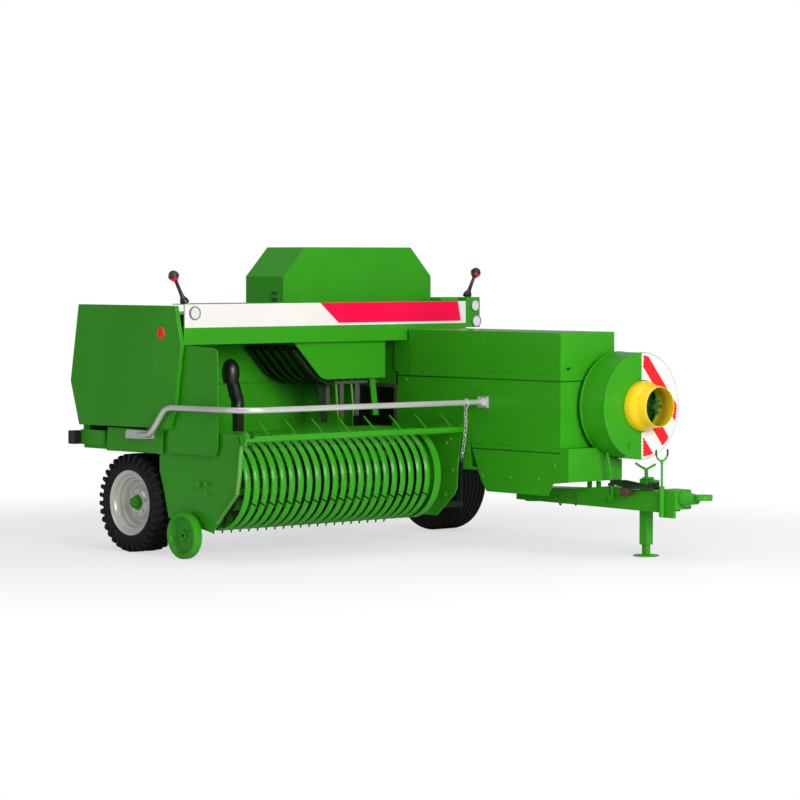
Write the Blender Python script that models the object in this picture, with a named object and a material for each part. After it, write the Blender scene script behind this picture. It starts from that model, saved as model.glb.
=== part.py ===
"""Square baler: a towed pickup baler for small rectangular bales.

Lengths are metres. While modelling, +X is the direction of travel, +Y is the
machine's left and +Z is up, with zero on the ground midway between the wheels.
The empty "baler" then centres the machine's box over the origin.
"""
import math

import bmesh
import bpy
from mathutils import Matrix, Vector

# ---- driving dimensions -------------------------------------------------
GAP = 0.0003                     # between two pieces that touch
SHEET = 0.005                    # folded sheet covers
PLATE = 0.008                    # load-carrying plates

# radius and width of each tyre, both on 15 inch rims; the left one carries the bale chamber
TYRES = {"right": (0.312, 0.220), "left": (0.340, 0.270)}
AXLE_Z = 0.312
RIM_R = 0.200
WHEEL_SIDES = 32
TRACK = 2.56                     # wheel centre to wheel centre

# bale chamber and plunger housing
CHAMBER_RIGHT = 0.465
CHAMBER_LEFT = 0.940
CHAMBER_LOW = 0.600
CHAMBER_TOP = 1.020
CHAMBER_REAR = -1.600
HOUSING_REAR = 0.480
HOUSING_FRONT = 2.000
HOUSING_LOW = 0.670
HOUSING_TOP = 1.112
LID_REAR = 0.585
LID_TOP = 1.390
LID_HINGE = (1.3, CHAMBER_LEFT + 0.008, HOUSING_TOP)
SKIRT_REAR = 1.180
SKIRT_FRONT = 2.070
SKIRT_LOW = 0.461
PLUNGER_X = (0.530, 0.960)
PLUNGER_CLEAR = 0.014

# input drive
DRIVE_Y = 0.930
DRIVE_Z = 0.930
DRUM_R = 0.335
DRUM_X = (2.037, 2.247)
BOARD_T = 0.003
CONE_X = (2.2506, 2.410)
CONE_R = (0.158, 0.122)
FLYWHEEL_R = 0.300
FLYWHEEL_X = (2.090, 2.190)

# frame and covers of the feed side
SIDE_Y = -1.360                  # outer face of the frame's right rail
FRAME_LOW = 0.640
FRAME_TOP = 0.700
FRAME_FRONT = 0.220
FRAME_REAR = -0.500
FRAME_TUBE = 0.060
BEAM_X = (0.440, 0.560)
BEAM_Y = (-1.372, 1.000)
BEAM_Z = (1.318, 1.572)
DECK_Z = 1.500
WALL_X = -0.050                  # front face of the feed chamber's back wall
PACKER_LEAN = 224                # direction that the stripper ribs' slope faces, in degrees
PANEL_Y = (-1.408, -1.378)
PANEL_TOP = 1.560
HOOD_X = (-0.100, 0.284)
HOOD_Y = (-0.348, 0.933)
HOOD_Z = (1.735, 1.925)          # shoulder and top
HOOD_CHAMFER = 0.180

# pickup
PICKUP_PIVOT = (0.385, 0.660)
PICKUP_ARMS = (-1.250, 0.330)    # right faces of the two lift arms, each 40 mm wide
PICKUP_NEAR = -1.350
PICKUP_FAR = 0.440
REEL_CENTRE = (0.830, 0.462)
REEL_TINE_R = 0.325
REEL_BAR_R = 0.195
BAND_CENTRE = (0.820, 0.475)
BAND_R = 0.292
BAND_COUNT = 22
BAND_PITCH = 0.070
BAND_WIDTH = 0.046
BAND_FIRST = -1.330
WIDE_BAND = (0.215, 0.270)       # start and end in Y of the wide last band
WIND_BAR = (1.140, 0.760)
GAUGE_CENTRE = (0.600, -1.398, 0.146)
RAIL_Y = -1.436                  # guard rail beside the machine
RAIL_R = 0.018
RAIL_END_X = 1.300               # where the rail meets the plunger housing

# drawbar
DRAWBAR_Y = 0.870
DRAWBAR_PIVOT = 1.350
DRAWBAR_W = 0.170
JACK_X = 2.350
HOOK = (2.580, 0.768)            # PTO support hook, in X and Y
EYE_X = 2.835
EYE_Z = 0.390
EYE_R = 0.055

# needles, density control and chute behind
NEEDLE_PIVOT = (0.550, 0.720)
NEEDLE_R = 0.500
NEEDLE_Y = (0.600, 0.800)
TENSION_X = -1.450
CHUTE_HINGE = (-1.622, 0.590)
CHUTE_LENGTH = 0.863

CENTRE_X = (CHUTE_HINGE[0] - CHUTE_LENGTH + EYE_X + EYE_R) / 2
CENTRE_Y = (RAIL_Y - RAIL_R + TRACK / 2 + TYRES["left"][1] / 2) / 2

# name: (base colour, metallic, roughness)
PAINTS = {
    "green": ((0.03, 0.34, 0.02), 0.0, 0.35),
    "black": ((0.02, 0.02, 0.02), 0.0, 0.6),
    "white": ((0.85, 0.85, 0.85), 0.0, 0.4),
    "yellow": ((1.0, 0.65, 0.0), 0.0, 0.4),
    "silver": ((0.55, 0.56, 0.58), 0.7, 0.4),
    "rubber": ((0.015, 0.015, 0.016), 0.0, 0.8),
    "red": ((0.5, 0.01, 0.01), 0.0, 0.3),
    "steel": ((0.35, 0.35, 0.36), 0.9, 0.4),
}


# ---- modelling helpers ----------------------------------------------------
def clear_scene():
    for obj in list(bpy.data.objects):
        bpy.data.objects.remove(obj, do_unlink=True)


def paint(name, key):
    colour, metallic, roughness = PAINTS[key]
    material = bpy.data.materials.new(name)
    material.use_nodes = True
    shader = material.node_tree.nodes["Principled BSDF"]
    shader.inputs["Base Color"].default_value = (*colour, 1.0)
    shader.inputs["Metallic"].default_value = metallic
    shader.inputs["Roughness"].default_value = roughness
    material.diffuse_color = (*colour, 1.0)
    return material


def prism(outline, axis, low, high):
    """Solid between two planes; outline is in the other two axes, in XYZ order."""
    bm = bmesh.new()
    ring = []
    for a, b in outline:
        point = {"X": (low, a, b), "Y": (a, low, b), "Z": (a, b, low)}[axis]
        ring.append(bm.verts.new(point))
    face = bm.faces.new(ring)
    grown = bmesh.ops.extrude_face_region(bm, geom=[face])
    moved = [v for v in grown["geom"] if isinstance(v, bmesh.types.BMVert)]
    step = Vector([high - low if axis == name else 0.0 for name in "XYZ"])
    bmesh.ops.translate(bm, verts=moved, vec=step)
    bmesh.ops.recalc_face_normals(bm, faces=bm.faces)
    return bm


def box(x, y, z):
    return prism([(x[0], y[0]), (x[1], y[0]), (x[1], y[1]), (x[0], y[1])], "Z", *z)


def cylinder(axis, centre, radius, low, high, sides=20):
    """Round bar along an axis; centre gives the other two coordinates, in XYZ order."""
    turns = [2 * math.pi * i / sides for i in range(sides)]
    outline = [(centre[0] + radius * math.cos(t), centre[1] + radius * math.sin(t))
               for t in turns]
    return prism(outline, axis, low, high)


def turned(profile, axis, centre, sides=32):
    """Solid of revolution; profile is a closed loop of (radius, place along the axis)."""
    frames = {"X": lambda r, c, s, d: (d, centre[0] + r * c, centre[1] + r * s),
              "Y": lambda r, c, s, d: (centre[0] + r * c, d, centre[1] + r * s),
              "Z": lambda r, c, s, d: (centre[0] + r * c, centre[1] + r * s, d)}
    place = frames[axis]
    bm = bmesh.new()
    rings = []
    for radius, along in profile:
        if radius == 0.0:
            rings.append([bm.verts.new(place(0.0, 0.0, 0.0, along))] * sides)
            continue
        ring = []
        for i in range(sides):
            turn = 2 * math.pi * i / sides
            ring.append(bm.verts.new(place(radius, math.cos(turn), math.sin(turn), along)))
        rings.append(ring)
    for k, ring in enumerate(rings):
        after = rings[(k + 1) % len(rings)]
        for i in range(sides):
            j = (i + 1) % sides
            corners = []
            for vert in (ring[i], ring[j], after[j], after[i]):
                if vert not in corners:
                    corners.append(vert)
            if len(corners) > 2:
                bm.faces.new(corners)
    bmesh.ops.recalc_face_normals(bm, faces=bm.faces)
    return bm


def arc(centre, radius, start, end, steps):
    """Points on an arc, angles in degrees."""
    points = []
    for i in range(steps + 1):
        turn = math.radians(start + (end - start) * i / steps)
        points.append((centre[0] + radius * math.cos(turn), centre[1] + radius * math.sin(turn)))
    return points


def ribbon(path, thickness):
    """Closed outline of a strip that follows an open 2-D path, grown to its left."""
    outer = []
    count = len(path)
    for i, point in enumerate(path):
        before = Vector(path[max(i - 1, 0)])
        after = Vector(path[min(i + 1, count - 1)])
        along = (after - before).normalized()
        normal = Vector((-along.y, along.x))
        outer.append(tuple(Vector(point) + normal * thickness))
    return list(path) + outer[::-1]


def inset(outline, depth):
    """Outline moved inwards by depth, corner by corner."""
    area = sum(a[0] * b[1] - b[0] * a[1] for a, b in zip(outline, outline[1:] + outline[:1]))
    side = 1.0 if area > 0 else -1.0
    result = []
    count = len(outline)
    for i in range(count):
        before, here, after = (Vector(outline[j % count]) for j in (i - 1, i, i + 1))
        first = (here - before).normalized()
        second = (after - here).normalized()
        n1 = Vector((-first.y, first.x)) * side
        n2 = Vector((-second.y, second.x)) * side
        bend = (n1 + n2) / (1.0 + n1.dot(n2))
        result.append(tuple(here + bend * depth))
    return result


def tube(path, radius, sides=10):
    """Round bar along a path of 3-D points, with mitred bends and flat ends."""
    points = [Vector(p) for p in path]
    count = len(points)
    bm = bmesh.new()
    rings = []
    side = None
    for i, point in enumerate(points):
        before = (point - points[i - 1]).normalized() if i else None
        after = (points[i + 1] - point).normalized() if i < count - 1 else None
        first = before or after
        second = after or before
        along = (first + second).normalized()
        if side is None:
            seed = Vector((0, 0, 1)) if abs(first.z) < 0.9 else Vector((1, 0, 0))
            side = first.cross(seed).normalized()
        side = (side - first * side.dot(first)).normalized()
        other = first.cross(side)
        ring = []
        for k in range(sides):
            turn = 2 * math.pi * k / sides
            offset = (side * math.cos(turn) + other * math.sin(turn)) * radius
            offset -= first * (offset.dot(along) / first.dot(along))
            ring.append(bm.verts.new(point + offset))
        rings.append(ring)
    for first, second in zip(rings, rings[1:]):
        for k in range(sides):
            j = (k + 1) % sides
            bm.faces.new((first[k], first[j], second[j], second[k]))
    bm.faces.new(rings[0])
    bm.faces.new(rings[-1])
    bmesh.ops.recalc_face_normals(bm, faces=bm.faces)
    return bm


def turn_piece(bm, centre, axis, degrees):
    bmesh.ops.rotate(bm, verts=bm.verts, cent=centre,
                     matrix=Matrix.Rotation(math.radians(degrees), 3, axis))
    return bm


def plain_object(bm, name="piece"):
    mesh = bpy.data.meshes.new(name)
    bm.to_mesh(mesh)
    bm.free()
    obj = bpy.data.objects.new(name, mesh)
    bpy.context.scene.collection.objects.link(obj)
    return obj


def combine(base, tools, operation):
    """Boolean of the tools with the base, one after another, as a new bmesh."""
    body = plain_object(base)
    helpers = [plain_object(tool, "helper") for tool in tools]
    for helper in helpers:
        modifier = body.modifiers.new("boolean", "BOOLEAN")
        modifier.operation = operation
        modifier.object = helper
    graph = bpy.context.evaluated_depsgraph_get()
    mesh = bpy.data.meshes.new_from_object(body.evaluated_get(graph))
    result = bmesh.new()
    result.from_mesh(mesh)
    for obj in [body, *helpers]:
        bpy.data.objects.remove(obj, do_unlink=True)
    bpy.data.meshes.remove(mesh)
    return result


def weld(*pieces):
    return combine(pieces[0], pieces[1:], "UNION")


def cut(base, *tools):
    return combine(base, tools, "DIFFERENCE")


def gather(pieces):
    """Pieces that don't touch, in one bmesh."""
    together = bmesh.new()
    for piece in pieces:
        mesh = bpy.data.meshes.new("gathered")
        piece.to_mesh(mesh)
        piece.free()
        together.from_mesh(mesh)
        bpy.data.meshes.remove(mesh)
    return together


def node(name, bm, key, origin=(0.0, 0.0, 0.0)):
    """Named sub-part with its own origin, in its own paint."""
    bmesh.ops.translate(bm, verts=bm.verts, vec=-Vector(origin))
    bmesh.ops.dissolve_limit(bm, angle_limit=math.radians(0.05), verts=bm.verts, edges=bm.edges)
    bmesh.ops.triangulate(bm, faces=bm.faces)
    obj = plain_object(bm, name)
    obj.location = origin
    obj.data.materials.append(paint(f"{name}_paint", key))
    obj.data.shade_smooth()
    obj.data.set_sharp_from_angle(angle=math.radians(30))
    return obj


# ---- wheels and axle ------------------------------------------------------
def wheel(side_name, side):
    """Tyre and rim; side is +1 at the left and -1 at the right."""
    middle = side * TRACK / 2
    radius, width = TYRES[side_name]
    half = width / 2
    bead = RIM_R + GAP
    wall = radius - bead
    # radius, offset from the wheel's middle plane
    one_side = [(bead, 0.82 * half), (bead + 0.27 * wall, 0.945 * half), (bead + 0.54 * wall, half),
                (radius - 0.020, 0.945 * half), (radius, 0.77 * half)]
    profile = [(r, middle - s) for r, s in one_side] + [(r, middle + s) for r, s in one_side[::-1]]
    centre = (0.0, radius)
    origin = (0.0, middle, radius)
    node(f"tyre_{side_name}", turned(profile, "Y", centre, WHEEL_SIDES), "rubber", origin)
    # dished disc: radius, offset towards the outer side
    dish = [(0.0, 0.062), (0.042, 0.062), (0.046, 0.030), (0.085, 0.024), (0.112, -0.004),
            (0.146, -0.004), (0.166, 0.030), (0.172, 0.080), (RIM_R, 0.092), (RIM_R, -0.092),
            (0.174, -0.080), (0.160, -0.020), (0.080, -0.016), (0.060, -0.050), (0.0, -0.050)]
    profile = [(r, middle + side * s) for r, s in dish]
    node(f"rim_{side_name}", turned(profile, "Y", centre, WHEEL_SIDES), "silver", origin)


def axle():
    half = 0.040
    spindle_end = TRACK / 2 - 0.050 - GAP
    beam_end = 1.115
    beam = box((-half, half), (-beam_end, beam_end), (AXLE_Z - half, AXLE_Z + half))
    heel = box((-half, half), (beam_end - 0.080, beam_end), (AXLE_Z, TYRES["left"][0] + half))
    spindles = [cylinder("Y", (0.0, TYRES["right"][0]), 0.030, -spindle_end, 0.020 - beam_end),
                cylinder("Y", (0.0, TYRES["left"][0]), 0.030, beam_end - 0.020, spindle_end)]
    # saddle plates: middle in Y, top in Z
    saddles = [(-1.100, FRAME_LOW), (-0.300, FRAME_LOW), (0.530, CHAMBER_LOW), (0.875, CHAMBER_LOW)]
    plates = [box((-half, half), (y - 0.012, y + 0.012), (AXLE_Z, top - GAP))
              for y, top in saddles]
    node("axle_beam", weld(beam, heel, *spindles, *plates), "green")


# ---- frame and fixed covers ------------------------------------------------
def main_frame():
    tube_w = FRAME_TUBE
    inner = CHAMBER_RIGHT - GAP
    low, top = FRAME_LOW, FRAME_TOP
    rails = [((FRAME_REAR, FRAME_FRONT), (SIDE_Y, SIDE_Y + tube_w)),
             ((FRAME_REAR, FRAME_FRONT), (-0.330, -0.270)),
             ((FRAME_REAR, FRAME_REAR + tube_w), (SIDE_Y, inner))]
    pieces = [box(x, y, (low, top)) for x, y in rails]
    front = box((FRAME_FRONT - tube_w, FRAME_FRONT), (SIDE_Y, inner), (low, top))
    # posts: rear corner in X, right corner in Y
    posts = [(FRAME_FRONT - tube_w, SIDE_Y), (FRAME_REAR, SIDE_Y), (FRAME_REAR, inner - tube_w)]
    for x, y in posts:
        pieces.append(box((x, x + tube_w), (y, y + tube_w), (low, DECK_Z - GAP)))
    for y in (SIDE_Y, inner - tube_w):
        pieces.append(box((FRAME_REAR, BEAM_X[0] - GAP), (y, y + tube_w),
                          (DECK_Z - tube_w, DECK_Z - GAP)))
    lamp_arm = box((FRAME_REAR, -0.262), (-1.385, SIDE_Y + 0.010), (0.663, 0.758))
    ears = []
    for y in PICKUP_ARMS:
        for ear in (y - 0.018, y + 0.048):
            ears.append(box((FRAME_FRONT - 0.010, 0.415), (ear, ear + 0.010), (low + 0.001, top - 0.001)))
    bore = cylinder("Y", PICKUP_PIVOT, 0.0172, SIDE_Y, inner, 16)
    node("main_frame", cut(weld(front, *pieces, lamp_arm, *ears), bore), "green")


def front_beam():
    (rear, front), (low, top) = BEAM_X, BEAM_Z
    wall = SHEET
    channel = [(rear, low), (front, low), (front, top), (rear, top), (rear, top - wall),
               (front - wall, top - wall), (front - wall, low + wall), (rear, low + wall)]
    node("front_beam", prism(channel, "Y", *BEAM_Y), "green")
    left = BEAM_Y[1] + GAP
    plate = box((front - 0.010, front), (left, 1.125), (1.395, 1.595))
    shelf = box((0.450, front), (left, 1.125), (1.585, 1.595))
    foot = box((0.450, front), (left, left + 0.010), (1.395, 1.595))
    node("lamp_bracket_left", weld(plate, shelf, foot), "green")


def front_lamps():
    # name, middle in Y and Z, radius
    lamps = [("front_lamp_right", -1.290, 1.514, 0.043),
             ("front_lamp_left", 1.077, 1.539, 0.040),
             ("front_reflector_left", 1.088, 1.436, 0.041)]
    for name, y, z, radius in lamps:
        disc = cylinder("X", (y, z), radius, BEAM_X[1] + GAP, BEAM_X[1] + 0.013, 24)
        node(name, disc, "white")


def marker_lamps():
    # name, foot, ball: Y and Z of each
    stalks = [("marker_lamp_right", -1.315, BEAM_Z[1] + GAP, -1.405, 1.745),
              ("marker_lamp_left", 1.060, 1.595 + GAP, 1.143, 1.757)]
    for name, foot_y, foot_z, ball_y, ball_z in stalks:
        foot = Vector((0.500, foot_y, foot_z))
        ball = Vector((0.500, ball_y, ball_z))
        along = (ball - foot).normalized()
        length = (ball - foot).length
        profile = [(0.0, 0.0), (0.030, 0.0), (0.027, 0.030), (0.013, 0.050), (0.011, length - 0.030),
                   (0.024, length - 0.026), (0.034, length), (0.024, length + 0.026),
                   (0.0, length + 0.034)]
        stalk = turned(profile, "Z", (0.0, 0.0), 16)
        lean = Vector((0, 0, 1)).rotation_difference(along).to_matrix()
        bmesh.ops.rotate(stalk, verts=stalk.verts, matrix=lean)
        bmesh.ops.translate(stalk, verts=stalk.verts, vec=foot)
        under = box((0.4, 0.6), (foot_y - 0.1, foot_y + 0.1), (foot_z - 0.05, foot_z))
        node(name, cut(stalk, under), "black")


def tray(outline, axis, face, rim, wall):
    """Sheet cover: a flat face with its edges folded back to the rim."""
    outer = prism(outline, axis, min(face, rim), max(face, rim))
    hollow = inset(outline, wall)
    if face < rim:
        inner = prism(hollow, axis, face + wall, rim + 0.01)
    else:
        inner = prism(hollow, axis, rim - 0.01, face - wall)
    return cut(outer, inner)


def side_panel():
    """Moulded right-hand door over the twine box, hinged along its top edge."""
    outline = [(-0.490, PANEL_TOP), (0.515, PANEL_TOP), (0.572, 1.320), (0.505, 0.920),
               (0.445, 0.800), (-0.490, 0.790), (-0.580, 1.070)]
    panel = tray(outline, "Y", *PANEL_Y, SHEET)
    node("right_side_panel", panel, "green", (0.0, PANEL_Y[1], PANEL_TOP))


def right_side_plates():
    lower = [(-0.250, 0.632), (0.335, 0.636), (0.335, 0.783), (-0.235, 0.783)]
    node("right_lower_panel", prism(lower, "Y", SIDE_Y - 0.010, SIDE_Y - GAP), "green")
    shield = [(0.400, 0.645), (0.868, 0.645), (0.893, 0.700), (0.893, 1.262), (0.886, 1.290),
              (0.858, 1.302), (0.620, 1.316), (0.230, 1.316),
              (0.230, 0.800), (0.400, 0.800)]
    skin = prism(shield, "Y", PANEL_Y[1] + 0.005, PANEL_Y[1] + 0.011)
    lug = box((0.226, 0.300), (PANEL_Y[1] + 0.008, -1.300), (0.900, 1.000))
    foot = box((0.2203, 0.234), (-1.360, -1.300), (0.900, 1.000))
    node("drive_shield", weld(skin, lug, foot), "green")


def twine_box():
    x, y, z = (-0.440, 0.155), (PANEL_Y[1] + 0.006, -0.800), (FRAME_TOP + GAP, 1.430)
    y = (-1.299, y[1])
    outer = box(x, y, z)
    inner = box((x[0] + PLATE, x[1] - PLATE), (y[0] - 0.1, y[1] - PLATE),
                (z[0] + PLATE, z[1] - PLATE))
    node("twine_box", cut(outer, inner), "green")


def rear_lamps():
    """Black lamp blocks at the ends of their arms, lenses facing back."""
    node("rear_lamp_right", box((-0.565, -0.5003), (-1.440, -1.3605), (0.664, 0.750)), "black")
    node("rear_lamp_left", box((-0.760, -0.6203), (1.240, 1.350), (0.664, 0.750)), "black")


def feed_chamber():
    """Floor, back wall and deck that the crop passes through on its way to the chamber."""
    inner = CHAMBER_RIGHT - 0.020
    floor = box((WALL_X, 0.395), (SIDE_Y + FRAME_TUBE + 0.002, inner),
                (FRAME_TOP + GAP, FRAME_TOP + PLATE))
    twine = box((-0.5, 0.160), (-1.40, -0.795), (0.6, 0.8))
    node("feeder_floor", cut(floor, twine), "green")
    low = FRAME_TOP + PLATE + GAP
    wall = box((WALL_X, WALL_X + SHEET), (-0.795, inner), (low, DECK_Z - 0.070))
    fold = box((WALL_X, WALL_X + 0.020), (-0.795, inner), (1.040, 1.052))
    node("feeder_back_wall", weld(wall, fold), "green")
    rear = box((FRAME_REAR - 0.008, FRAME_REAR - GAP), (SIDE_Y, inner), (0.660, DECK_Z - GAP))
    node("rear_cover", rear, "green")
    deck = box((FRAME_REAR, BEAM_X[0] - 0.001), (SIDE_Y, CHAMBER_LEFT),
               (DECK_Z, DECK_Z + SHEET))
    hole = box((-0.060, 0.240), (0.500, 0.905), (1.4, 1.6))
    node("top_deck", cut(deck, hole), "green")


def guide_curve(offset, trim=0.0):
    """Side view of the stripper ribs: a slope that turns level under the front beam."""
    lean = math.radians(PACKER_LEAN)
    out = Vector((math.cos(lean), math.sin(lean)))
    down = Vector((-out.y, out.x))
    bend = Vector((-0.058, 1.355)) + out * (0.300 + offset)
    start = bend - down * (0.190 - trim)
    return [tuple(start)] + arc((-0.058, 1.355), 0.300 + offset, PACKER_LEAN, 270 - 100 * trim, 8)


def packer():
    """Cover, curved stripper ribs and fork bars under the front beam."""
    top = BEAM_Z[0] - GAP
    cover = [(-0.441, top)] + arc((-0.162, 1.175), 0.100, PACKER_LEAN, 270, 6)
    cover += [(0.336, 1.075), (0.336, top)]
    node("packer_cover", prism(cover, "X", 0.494, 0.500), "green")
    backing = guide_curve(-0.002) + guide_curve(0.002)[::-1]
    rib = guide_curve(0.0, 0.010) + guide_curve(0.020, 0.010)[::-1]
    pieces = [prism(backing, "X", WALL_X + 0.0203, 0.4937)]
    for i in range(6):
        x = -0.020 + 0.088 * i
        pieces.append(prism(rib, "X", x, x + 0.040))
    node("packer_ribs", weld(*pieces), "black")
    bars = [box((0.330, 0.430), (-0.045, 0.330), (1.040, 1.060))]
    # fork bars: X, Y, lower end
    for x, y, low in [(0.345, -0.030, 0.86), (0.415, 0.030, 0.83), (0.345, 0.090, 0.86),
                      (0.415, 0.160, 0.83), (0.345, 0.230, 0.86), (0.415, 0.300, 0.83)]:
        bars.append(box((x - 0.006, x + 0.006), (y - 0.016, y + 0.016), (low, 1.055)))
    hanger = box((0.370, 0.390), (0.100, 0.140), (1.050, BEAM_Z[0] - 0.010))
    tie = box((0.370, BEAM_X[0] + 0.05), (0.100, 0.140), (BEAM_Z[0] - 0.040, BEAM_Z[0] - GAP))
    node("packer_forks", weld(*bars, hanger, tie), "steel")


def crop_horn():
    """Black bent guide with a domed cap beside the feed chamber's right end."""
    path = [(0.300, -0.745, 0.880)] + [(0.300, y, z) for y, z in arc((-0.845, 0.930), 0.105, 0, 35, 4)]
    path += [(0.300, -0.755 - 0.014 * i, 0.990 + 0.040 * i) for i in range(1, 4)]
    stem = tube(path, 0.042, 12)
    top = Vector(path[-1])
    profile = [(0.0, -0.075), (0.046, -0.070), (0.058, -0.020), (0.056, 0.030), (0.040, 0.065),
               (0.018, 0.082), (0.0, 0.086)]
    cap = turned(profile, "Z", (top.x, top.y), 16)
    bmesh.ops.translate(cap, verts=cap.verts, vec=(0, 0, top.z + 0.020))
    foot = box((0.240, 0.360), (-0.763, -0.670), (FRAME_TOP + PLATE + GAP, 0.730))
    leg = box((0.275, 0.325), (-0.763, -0.710), (0.720, 0.900))
    node("crop_horn", weld(stem, cap, leg, foot), "black")


# ---- bale chamber and drive -------------------------------------------------
def bale_chamber():
    right, left = CHAMBER_RIGHT, CHAMBER_LEFT
    low, top = CHAMBER_LOW, CHAMBER_TOP
    outer = box((CHAMBER_REAR, HOUSING_REAR - GAP), (right, left), (low, top))
    bore = box((CHAMBER_REAR - 0.1, HOUSING_REAR + 0.1), (right + PLATE, left - PLATE),
               (low + PLATE, top - PLATE))
    feed = box((0.020, 0.440), (right - 0.1, right + 0.05), (0.715, 1.005))
    roof = box((CHAMBER_REAR - 0.1, -1.010), (right + 0.060, left - 0.060), (top - 0.05, top + 0.1))
    floor = box((CHAMBER_REAR - 0.1, -1.010), (right + 0.060, left - 0.060), (low - 0.1, low + 0.05))
    slots = []
    for y in NEEDLE_Y:
        slots.append(box((0.020, 0.130), (y - 0.015, y + 0.015), (low - 0.1, low + 0.05)))
        slots.append(box((0.070, 0.270), (y - 0.015, y + 0.015), (top - 0.05, top + 0.1)))
    lugs = [box((CHUTE_HINGE[0] - 0.018, CHAMBER_REAR + 0.050), y, (0.575, 0.605))
            for y in ((right - 0.013, right + 0.001), (left - 0.001, left + 0.013))]
    tunnel = cut(outer, bore, feed, roof, floor, *slots)
    node("bale_chamber", weld(tunnel, *lugs), "green")


def plunger():
    gap = PLUNGER_CLEAR
    x = PLUNGER_X
    body = box(x, (CHAMBER_RIGHT + gap, CHAMBER_LEFT - gap), (CHAMBER_LOW + gap, CHAMBER_TOP - gap))
    hollow = box((x[0] + 0.030, x[1] + 0.1),
                 (CHAMBER_RIGHT + gap + PLATE, CHAMBER_LEFT - gap - PLATE),
                 (CHAMBER_LOW + gap + PLATE, CHAMBER_TOP - gap - PLATE))
    node("plunger", cut(body, hollow), "steel", (x[0], 0.70, 0.81))


def plunger_housing():
    right, left = CHAMBER_RIGHT, CHAMBER_LEFT
    step = SKIRT_REAR - 0.010
    outline = [(HOUSING_REAR, CHAMBER_LOW), (step, CHAMBER_LOW), (step, HOUSING_LOW),
               (HOUSING_FRONT, HOUSING_LOW), (HOUSING_FRONT, HOUSING_TOP - GAP),
               (HOUSING_REAR, HOUSING_TOP - GAP)]
    outer = prism(outline, "Y", right, left)
    hollow = prism(inset(outline, SHEET), "Y", right + SHEET, left - SHEET)
    back = box((HOUSING_REAR - 0.1, HOUSING_REAR + 0.1), (right + SHEET, left - SHEET),
               (CHAMBER_LOW + SHEET, 1.100))
    below = box((step + 0.05, HOUSING_FRONT - 0.05), (right + 0.04, left - 0.04),
                (HOUSING_LOW - 0.1, HOUSING_LOW + 0.05))
    above = box((LID_REAR + 0.05, HOUSING_FRONT - 0.05), (right + 0.04, left - 0.04),
                (HOUSING_TOP - 0.05, HOUSING_TOP + 0.1))
    side = box((1.590, 1.960), (left - 0.05, left + 0.05), (0.770, 1.080))
    nose = box((1.940, HOUSING_FRONT + 0.05), (DRIVE_Y - 0.070, left + 0.05),
               (DRIVE_Z - 0.070, DRIVE_Z + 0.070))
    node("plunger_housing", cut(outer, hollow, back, below, above, side, nose), "green")


def housing_lid():
    right, left = CHAMBER_RIGHT, CHAMBER_LEFT
    outline = [(LID_REAR, right), (HOUSING_FRONT, right), (HOUSING_FRONT, left), (LID_REAR, left)]
    lid = tray(outline, "Z", LID_TOP, HOUSING_TOP, SHEET)
    node("housing_lid", lid, "green", LID_HINGE)


def chamber_skirt():
    """Lower guard: front plate, deep right side with a tongue, shallow left side."""
    top = HOUSING_LOW - GAP
    right_side = [(SKIRT_REAR, top), (1.277, 0.443), (1.330, 0.368), (1.885, 0.368),
                  (1.936, 0.447), (SKIRT_FRONT, SKIRT_LOW), (SKIRT_FRONT, top)]
    left_side = [(SKIRT_REAR, top), (1.270, SKIRT_LOW), (SKIRT_FRONT, SKIRT_LOW),
                 (SKIRT_FRONT, top)]
    right, left = CHAMBER_RIGHT, CHAMBER_LEFT
    near = prism(right_side, "Y", right, right + SHEET)
    far = prism(left_side, "Y", left - SHEET, left)
    front = box((SKIRT_FRONT - SHEET, SKIRT_FRONT), (right, left), (SKIRT_LOW, top))
    shelf = box((HOUSING_FRONT - 0.040, SKIRT_FRONT), (right, left), (top - SHEET, top))
    drum = cylinder("X", (DRIVE_Y, DRIVE_Z), DRUM_R + 0.006, DRUM_X[0] - 0.010, SKIRT_FRONT + 0.1, 48)
    node("chamber_skirt", cut(weld(front, near, far, shelf), drum), "green")


def gearbox():
    case = box((1.600, 1.950), (0.800, 1.080), (0.780, 1.070))
    side_cap = cylinder("Y", (1.775, 0.925), 0.110, 1.050, 1.130, 24)
    nose = cylinder("X", (DRIVE_Y, DRIVE_Z), 0.060, 1.900, DRUM_X[0] - GAP, 24)
    mount = box((1.620, 1.930), (CHAMBER_LEFT + GAP, 1.000), (0.740, 1.076))
    node("gearbox", weld(case, side_cap, nose, mount), "green")


def flywheel_cover():
    rear, front = DRUM_X
    wall = SHEET
    profile = [(0.080, rear), (DRUM_R, rear), (DRUM_R, front), (0.140, front),
               (0.140, front - wall), (DRUM_R - wall, front - wall), (DRUM_R - wall, rear + wall),
               (0.080, rear + wall)]
    drum = turned(profile, "X", (DRIVE_Y, DRIVE_Z), 48)
    flange = turned([(0.035, rear), (0.100, rear), (0.100, rear + wall), (0.035, rear + wall)],
                    "X", (DRIVE_Y, DRIVE_Z), 48)
    node("flywheel_cover", weld(drum, flange), "green")
    board_x = (front + GAP, front + BOARD_T)
    disc = turned([(0.165, board_x[0]), (DRUM_R - 0.002, board_x[0]),
                   (DRUM_R - 0.002, board_x[1]), (0.165, board_x[1])],
                  "X", (DRIVE_Y, DRIVE_Z), 48)
    half = box((front - 0.1, front + 0.1), (DRIVE_Y - 0.5, DRIVE_Y), (0.4, 1.5))
    node("warning_board", cut(disc, half), "white")


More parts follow.
